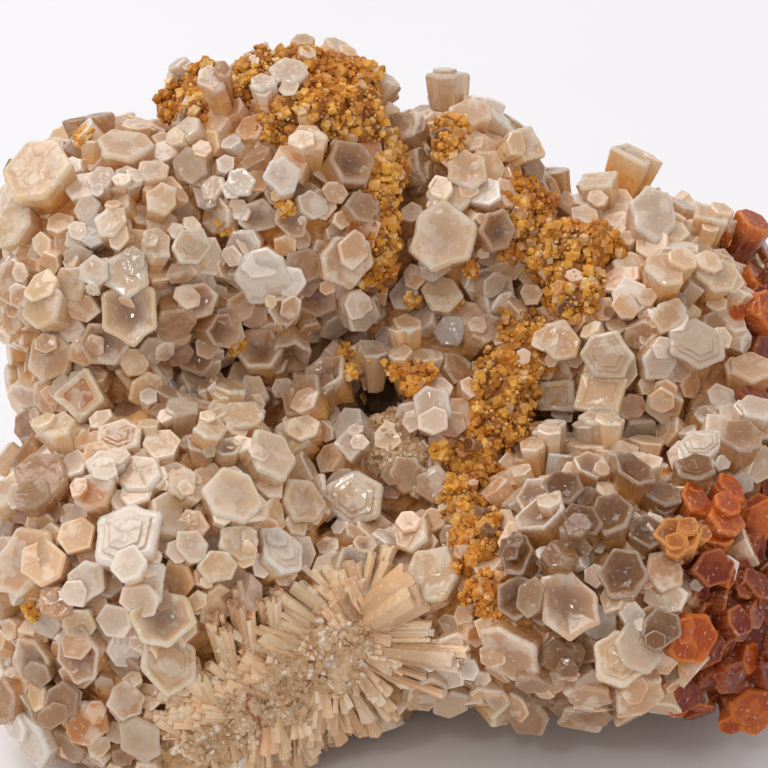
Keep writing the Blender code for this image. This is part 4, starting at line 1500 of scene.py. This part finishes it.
    def build(self, plain: bpy.types.Material, small: bpy.types.Material, clear: bpy.types.Material,
              glassy: bpy.types.Material, stained: bpy.types.Material) -> None:
        """Builds all prisms and makes their pieces.

        Args:
            plain: Finish of the pale crystals.
            small: Finish of the small crystals between them.
            clear: Finish of the clearer, smoky crystals.
            glassy: Finish of the clearer, pale crystals.
            stained: Finish of the rust-stained crystals.
        """
        finishes = {"stained_crystals": stained, "clear_crystals": clear, "glassy_crystals": glassy,
                    "far_crystals": small, "small_crystals_front": small, "small_crystals_far": small}
        heroes = self.layout.heroes()
        for crystal in heroes:
            self.add(crystal, Detail.FULL)
        hides = self.layout.hides_hollow
        for coarse in self.layout.fill(heroes):
            for crystal in self.bundle(coarse):
                if hides(crystal.tip) or hides(crystal.tip - crystal.axis * 2.0):
                    continue
                if self.clear(crystal):
                    self.add(crystal, Detail.MEDIUM)
        for crystal in self.small():
            if self.clear(crystal):
                self.add(crystal, Detail.SMALL, small=True)
        for crystal in heroes:
            for satellite in self.satellites(crystal):
                if not hides(satellite.tip):
                    self.add(satellite, Detail.MEDIUM, small=True)
        for crystal in self.sprouts():
            self.add(crystal, Detail.SMALL, small=True)
        for name, batch in self.batches.items():
            piece = batch.make(finishes.get(name, plain))
            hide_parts("crystal_cluster")


@dataclass
class MassiveRoot:
    """The massive inner part that the crystals grow from, seen in the gaps."""

    layout: Layout
    level: int = 5
    tint: Colour = (0.80, 0.47, 0.21)

    def build(self, material: bpy.types.Material) -> None:
        """Builds the inner part.

        Args:
            material: Its finish.
        """
        batch = MeshBatch("massive_root")
        points, faces = ball(self.level)
        for rosette in self.layout.rosettes:
            first = len(batch.points)
            for point in points:
                out = Vector(point)
                place = rosette.centre + stretched(out, rosette.radii - Vector((CORE_DEPTH,) * 3))
                place += out * (0.9 * relief.noise(place * 0.5) + 0.45 * relief.noise(place * 1.3))
                place = self.pushed(place)
                # Painted shade: points in the dark hollow get a low lit share, so the finish turns them nearly
                # black.
                lit = 0.12 if self.layout.in_hollow(place, 1.12) else 1.0
                batch.vertex(place, self.tint, place, (lit, 0.0, 0.0))
            for face in faces:
                batch.face([first + k for k in face])
        piece = batch.make(material)
        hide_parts("crystal_cluster")

    def pushed(self, place: Vector) -> Vector:
        """Moves a point out of the hollow, to its far wall."""
        line = self.layout.view.sight(380, 400)
        for middle, size in self.layout.hollows:
            offset = place - middle
            if offset.length < size:
                along = offset.dot(line)
                across = offset - line * along
                reach = math.sqrt(max(size * size - across.length_squared, 0.0))
                place = middle + across + line * reach
        return place


@dataclass
class BrokenRoot:
    """The cream broken root: sugary lumps with long prisms spreading from them."""

    layout: Layout
    rubble: Rubble = field(default_factory=lambda: Rubble(0.3, 2.4))
    tint: Colour = (0.64, 0.40, 0.22)
    grains: int = 700
    fibres: int = 480
    fibre_spread: float = 34.0

    def build(self, cream: bpy.types.Material, crystal: bpy.types.Material) -> None:
        """Builds the lumps and the bared prisms.

        Args:
            cream: Finish of the massive lumps.
            crystal: Finish of the prisms.
        """
        massive = MeshBatch("broken_root")
        for rows, sunk, start in ((BREAK_LUMPS, 0.92, 300), (HOLLOW_SILL, 1.35, 320)):
            for number, (column, row, radius) in enumerate(rows, start):
                point, outward = self.layout.hit(column, row)
                size = radius * self.layout.view.unit
                self.add_lump(massive, point - outward * (sunk * size), size, outward, number)
        prisms = MeshBatch("bared_prisms")
        for number, row in enumerate(BARED_PRISMS):
            self.add_columns(prisms, row, number)
        for number in range(self.fibres):
            self.add_fibre(prisms, number)
        for batch, material in ((massive, cream), (prisms, crystal)):
            piece = batch.make(material)
            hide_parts("crystal_cluster")

    def add_lump(self, batch: MeshBatch, middle: Vector, size: float, outward: Vector, number: int) -> None:
        """Adds one cream lump with broken grains on its open side.

        Args:
            batch: Piece that it joins.
            middle: Middle of the lump.
            size: Radius.
            outward: Direction of its open side.
            number: Which lump.
        """
        self.rubble.lump(batch, middle, size, 5, self.tint, number)
        for step, (point, slope) in enumerate(Rosette.ball(middle, size).spread(self.grains, number)):
            own = number * 800.0 + step
            if slope.dot(outward) < -0.2 or chance(own, 7) < 0.25:
                continue
            grain = 0.16 + 0.5 * chance(own, 8) ** 2.2
            place = point + slope * (size * self.rubble.swell(point, number))
            self.rubble.grain(batch, place, grain, varied(self.tint, own, 0.1), own)

    def add_columns(self, batch: MeshBatch, row: Sequence[float], number: int) -> None:
        """Adds one bared prism as a sheaf of thin columns with uneven ends.

        Args:
            batch: Piece that it joins.
            row: Column and row of the foot and of the end, and the width.
            number: Which prism.
        """
        col_a, row_a, col_b, row_b, across = row
        foot, outward = self.layout.hit(col_a, row_a)
        end, _ = self.layout.hit(col_b, row_b)
        foot = foot - outward * 2.2
        end = end + outward * 0.2
        width = across * self.layout.view.unit
        axis = (end - foot).normalized()
        thick = width * 0.5
        for step in range(6):
            own = 5000 + number * 11.0 + step
            offset = sideways(axis, math.tau * step / 6 + chance(own, 1)) * width * 0.28
            tip = end + offset - axis * (4.0 * chance(own, 2) ** 1.3)
            start = foot + offset * 0.7
            crystal = Crystal(tip, (tip - start).normalized(), thick * (0.6 + 0.6 * chance(own, 4)),
                              (tip - start).length, EndKind.FLAT, own, picked(ROOT_MIX, chance(own, 3)))
            PrismForm(crystal, Detail.MEDIUM, foot_share=0.7, ragged=0.6, warmth=0.6).add_to(batch)

    def add_fibre(self, batch: MeshBatch, number: int) -> None:
        """Adds one thin fibre that lies on the root and spreads away from its middle line.

        Args:
            batch: Piece that it joins.
            number: Which fibre.
        """
        own = 15000.0 + number
        along = chance(own, 1) * (len(BREAK_RIDGE) - 1)
        leg = int(along)
        (col_a, row_a), (col_b, row_b) = BREAK_RIDGE[leg], BREAK_RIDGE[leg + 1]
        across, down = -(row_b - row_a), col_b - col_a
        size = math.hypot(across, down)
        away = chance(own, 2) * 2 - 1
        column = col_a + (col_b - col_a) * (along - leg) + across / size * away * self.fibre_spread
        row = row_a + (row_b - row_a) * (along - leg) + down / size * away * self.fibre_spread
        turn = math.copysign(1.0, away)
        spread_col, spread_row = column - BREAK_HEART[0], row - BREAK_HEART[1]
        spread = max(math.hypot(spread_col, spread_row), 1.0)
        heading = math.atan2(turn * down / size + 0.7 * spread_row / spread,
                             turn * across / size + 0.7 * spread_col / spread)
        heading += (chance(own, 3) - 0.5) * 0.5
        reach = 20 + 40 * chance(own, 4)
        foot, outward = self.layout.hit(column, row)
        end, _ = self.layout.hit(column + math.cos(heading) * reach, row + math.sin(heading) * reach)
        foot = foot - outward * (0.6 + 0.5 * chance(own, 5))
        end = end + outward * (0.5 * chance(own, 6) - 0.5)
        crystal = Crystal(end, (end - foot).normalized(), 0.5 + 1.1 * chance(own, 8) ** 1.6,
                          (end - foot).length, EndKind.FLAT, own, picked(ROOT_MIX, chance(own, 7)))
        PrismForm(crystal, Detail.SMALL, foot_share=0.6, warmth=0.6).add_to(batch)


@dataclass
class OchreMatrix:
    """The crumbly ochre matrix: patches of lumps crusted with angular grains."""

    layout: Layout
    grains: int = 520
    rubble: Rubble = field(default_factory=lambda: Rubble(0.42, 2.6))
    # Painted shade: the very dark lump under the grains shows in the gaps between them.
    inside: Colour = (0.20, 0.06, 0.008)
    colours: tuple[Colour, ...] = (
        (0.76, 0.36, 0.04), (0.90, 0.50, 0.09), (0.62, 0.24, 0.022), (0.40, 0.12, 0.012),
        (0.96, 0.62, 0.20), (0.70, 0.30, 0.03), (0.97, 0.72, 0.40), (0.84, 0.42, 0.06),
    )

    def build(self, ochre: bpy.types.Material) -> None:
        """Builds each patch in place of its solid, and the bits on the crystals.

        Args:
            ochre: Finish of the matrix.
        """
        number = 600
        for name, lumps in self.layout.patches.items():
            batch = MeshBatch(name.replace("ochre_matrix", "ochre_crust"))
            for middle, size in lumps:
                self.add_lump(batch, middle, size, number)
                number += 1
            piece = batch.make(ochre)
            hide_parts(name)
        bits = MeshBatch("ochre_bits")
        for column, row, radius in MATRIX_BITS:
            point, outward = self.layout.hit(column, row)
            self.add_bit(bits, point, outward, radius * self.layout.view.unit, number)
            number += 1
        bits.make(ochre)

    def colour(self, number: float) -> Colour:
        """Colour of one grain."""
        return varied(self.colours[int(chance(number, 12) * len(self.colours))], number, 0.1)

    def add_lump(self, batch: MeshBatch, middle: Vector, size: float, number: int) -> None:
        """Adds a lump and its crust of grains.

        Args:
            batch: Piece that it joins.
            middle: Middle of the lump.
            size: Radius.
            number: Which lump.
        """
        self.rubble.lump(batch, middle, size * 0.86, 4, self.inside, number)
        count = int(self.grains * (size / 3.2) ** 2)
        for step, (point, slope) in enumerate(Rosette.ball(middle, size).spread(count, number)):
            own = number * 700.0 + step
            pit = relief.noise(point * 0.75 + Vector((0, 0, 7)))
            if pit < -0.27:
                continue
            grain = 0.16 + 0.56 * chance(own, 8) ** 2.2
            swell = self.rubble.swell(point, number)
            place = point + slope * (size * swell + (chance(own, 9) - 0.75) * 0.8 + 0.5 * pit)
            colour = self.colour(own)
            # Painted shade: grains sunk in pits are darkened.
            if pit < -0.10:
                colour = (colour[0] * 0.6, colour[1] * 0.45, colour[2] * 0.35)
            self.rubble.grain(batch, place, grain, colour, own)

    def add_bit(self, batch: MeshBatch, point: Vector, outward: Vector, size: float, number: int) -> None:
        """Adds a small crust of grains on a crystal.

        Args:
            batch: Piece that it joins.
            point: Middle of the crust.
            outward: Outward direction there.
            size: Radius of the crust.
            number: Which crust.
        """
        side = outward.orthogonal().normalized()
        other = outward.cross(side)
        for step in range(int(14 + 26 * size)):
            own = number * 400.0 + step
            angle = chance(own, 21) * math.tau
            reach = size * math.sqrt(chance(own, 22))
            place = point + (side * math.cos(angle) + other * math.sin(angle)) * reach
            place += outward * ((chance(own, 23) - 0.6) * 0.9)
            self.rubble.grain(batch, place, 0.22 + 0.4 * chance(own, 8) ** 2, self.colour(own), own)


@dataclass
class Studio:
    """Pale floor, soft light and the camera."""

    view: FrontView
    world_strength: float = 0.73
    sensor: float = 36.0

    def build(self) -> None:
        """Builds the floor, the lights and the camera."""
        self.build_floor()
        self.build_lights()
        self.build_camera()

    def build_floor(self) -> None:
        """A large pale floor under the specimen."""
        mesh = bpy.data.meshes.new("floor")
        reach = 3.0
        mesh.from_pydata([(-reach, -reach, 0), (reach, -reach, 0), (reach, reach, 0), (-reach, reach, 0)],
                         [], [(0, 1, 2, 3)])
        board, material, shader = new_material("pale_floor")
        where = board.add("ShaderNodeTexCoord").outputs["Object"]
        shade = board.span(board.field(where, 14.0, 2.0), 0.3, 0.7)
        board.feed(shader.inputs["Base Color"], board.mix(shade, (0.885, 0.88, 0.895), (0.895, 0.89, 0.905)))
        shader.inputs["Roughness"].default_value = 0.7
        mesh.materials.append(material)
        floor = bpy.data.objects.new("floor", mesh)
        floor.location.z = -0.0002
        bpy.context.scene.collection.objects.link(floor)
        floor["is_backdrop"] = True

    def build_lights(self) -> None:
        """A white surround, a large key from the upper left and a small light that glints on the faces."""
        scene = bpy.context.scene
        world = bpy.data.worlds.new("soft_surround")
        world.use_nodes = True
        back = world.node_tree.nodes["Background"]
        back.inputs["Color"].default_value = (1.0, 0.985, 0.99, 1.0)
        back.inputs["Strength"].default_value = self.world_strength
        scene.world = world
        self.add_area("key", (-0.30, 0.14, 0.70), 0.45, 2.1, (1.0, 0.99, 1.0))
        self.add_area("glint", (-0.22, -0.52, 0.50), 0.07, 0.45, (1.0, 1.0, 1.0))

    @staticmethod
    def add_area(name: str, place: tuple[float, float, float], size: float, power: float, colour: Colour) -> None:
        """Adds a soft area light aimed at the specimen.

        Args:
            name: Name of the light.
            place: Where it stands, in metres.
            size: Side of the light.
            power: Power in watts.
            colour: Its colour.
        """
        data = bpy.data.lights.new(name, "AREA")
        data.energy, data.size, data.color = power, size, colour
        lamp = bpy.data.objects.new(name, data)
        lamp.location = place
        lamp.rotation_euler = (Vector((0, 0, 0.03)) - Vector(place)).to_track_quat("-Z", "Y").to_euler()
        bpy.context.scene.collection.objects.link(lamp)

    def build_camera(self) -> None:
        """Camera at the eye of the front view."""
        data = bpy.data.cameras.new("front_view")
        data.sensor_width = self.sensor
        data.lens = self.sensor * self.view.distance / (self.view.side * self.view.unit)
        data.clip_start, data.clip_end = 0.01, 20.0
        camera = bpy.data.objects.new("front_view", data)
        camera.location = (self.view.eye - OUTLINE_MIDDLE) * MM
        camera.rotation_euler = (math.pi / 2 - self.view.tilt, 0.0, 0.0)
        bpy.context.scene.collection.objects.link(camera)
        bpy.context.scene.camera = camera
        bpy.context.scene.view_settings.view_transform = "Standard"


def write_sizes() -> None:
    """Works out the boxes of the solids and of the dressed specimen."""
    boxes = {"cad": CAD_BOX, "visual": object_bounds()}
    plain = {name: [[float(value) for value in corner] for corner in box] for name, box in boxes.items()}


def main() -> None:
    """Builds the specimen and the studio, and logs each piece."""
    logging.basicConfig(level=logging.INFO, format="%(message)s", stream=sys.stdout)
    effects = Effects()
    frosted = CrystalFinish("frosted_aragonite_detailed").make(effects)
    small = CrystalFinish("small_aragonite", transmission=0.1, scatter=0.0, frost_share=0.5).make(effects)
    bared = CrystalFinish(
        "bared_aragonite", transmission=0.12, scatter=0.0, painted_top_light_share=0.04, frost_share=0.14, gloss=0.25,
        root=(0.50, 0.26, 0.10), root_share=0.9, painted_rim_highlight_share=0.3,
    ).make(effects)
    clear = CrystalFinish(
        "clear_aragonite", transmission=0.5, smooth_rough=0.07, frosted_rough=0.28, frost_share=0.14,
        painted_top_light_share=0.04, scatter=0.0, gloss=0.14, painted_rim_highlight_share=0.45, middle=(0.22, 0.085, 0.02), shine=0.35,
    ).make(effects)
    glassy = CrystalFinish(
        "glassy_aragonite", transmission=0.5, smooth_rough=0.06, frosted_rough=0.24, frost_share=0.3,
        painted_top_light_share=0.22, pale=0.2, scatter=0.0, gloss=0.5, end_shade_share=0.3, root=(0.92, 0.58, 0.28),
        root_share=0.7, painted_rim_highlight_share=0.6,
    ).make(effects)
    stained = CrystalFinish(
        "stained_aragonite", transmission=0.2, frost=(0.86, 0.30, 0.08), frost_share=0.12,
        root=(0.20, 0.022, 0.004), root_share=0.9, middle=(0.30, 0.06, 0.012), painted_top_light=(0.90, 0.40, 0.16),
        painted_top_light_share=0.03, rim=(0.86, 0.32, 0.09), painted_rim_highlight_share=0.36, gloss=0.06, shine=0.18,
        glassy=(0.58, 0.36, 0.24), end_shade_share=0.85, scatter=0.0,
    ).make(effects)
    massive = StoneFinish(
        "massive_root_stone", light=(0.86, 0.48, 0.18), dark=(0.46, 0.19, 0.045), stain=(0.66, 0.27, 0.035),
        stain_share=0.6, rust_side=True,
    ).make(effects)
    cream = StoneFinish(
        "cream_broken_root", light=(0.82, 0.60, 0.39), dark=(0.52, 0.29, 0.12), stain=(0.66, 0.37, 0.12),
        stain_share=0.35, rough=0.55, transmission=0.08, spark=0.7, crack=True,
    ).make(effects)
    ochre = StoneFinish(
        "ochre_matrix_grains", light=(0.93, 0.46, 0.055), dark=(0.36, 0.11, 0.008), stain=(0.68, 0.22, 0.010),
        stain_share=0.45, rough=0.7, bump=0.6, spark=0.25, grain=(0.98, 0.78, 0.50),
    ).make(effects)
    layout = Layout()
    MassiveRoot(layout).build(massive)
    CrystalField(layout).build(frosted, small, clear, glassy, stained)
    BrokenRoot(layout).build(cream, bared)
    OchreMatrix(layout).build(ochre)
    Studio(layout.view).build()
    write_sizes()


if __name__ == "__main__":
    main()
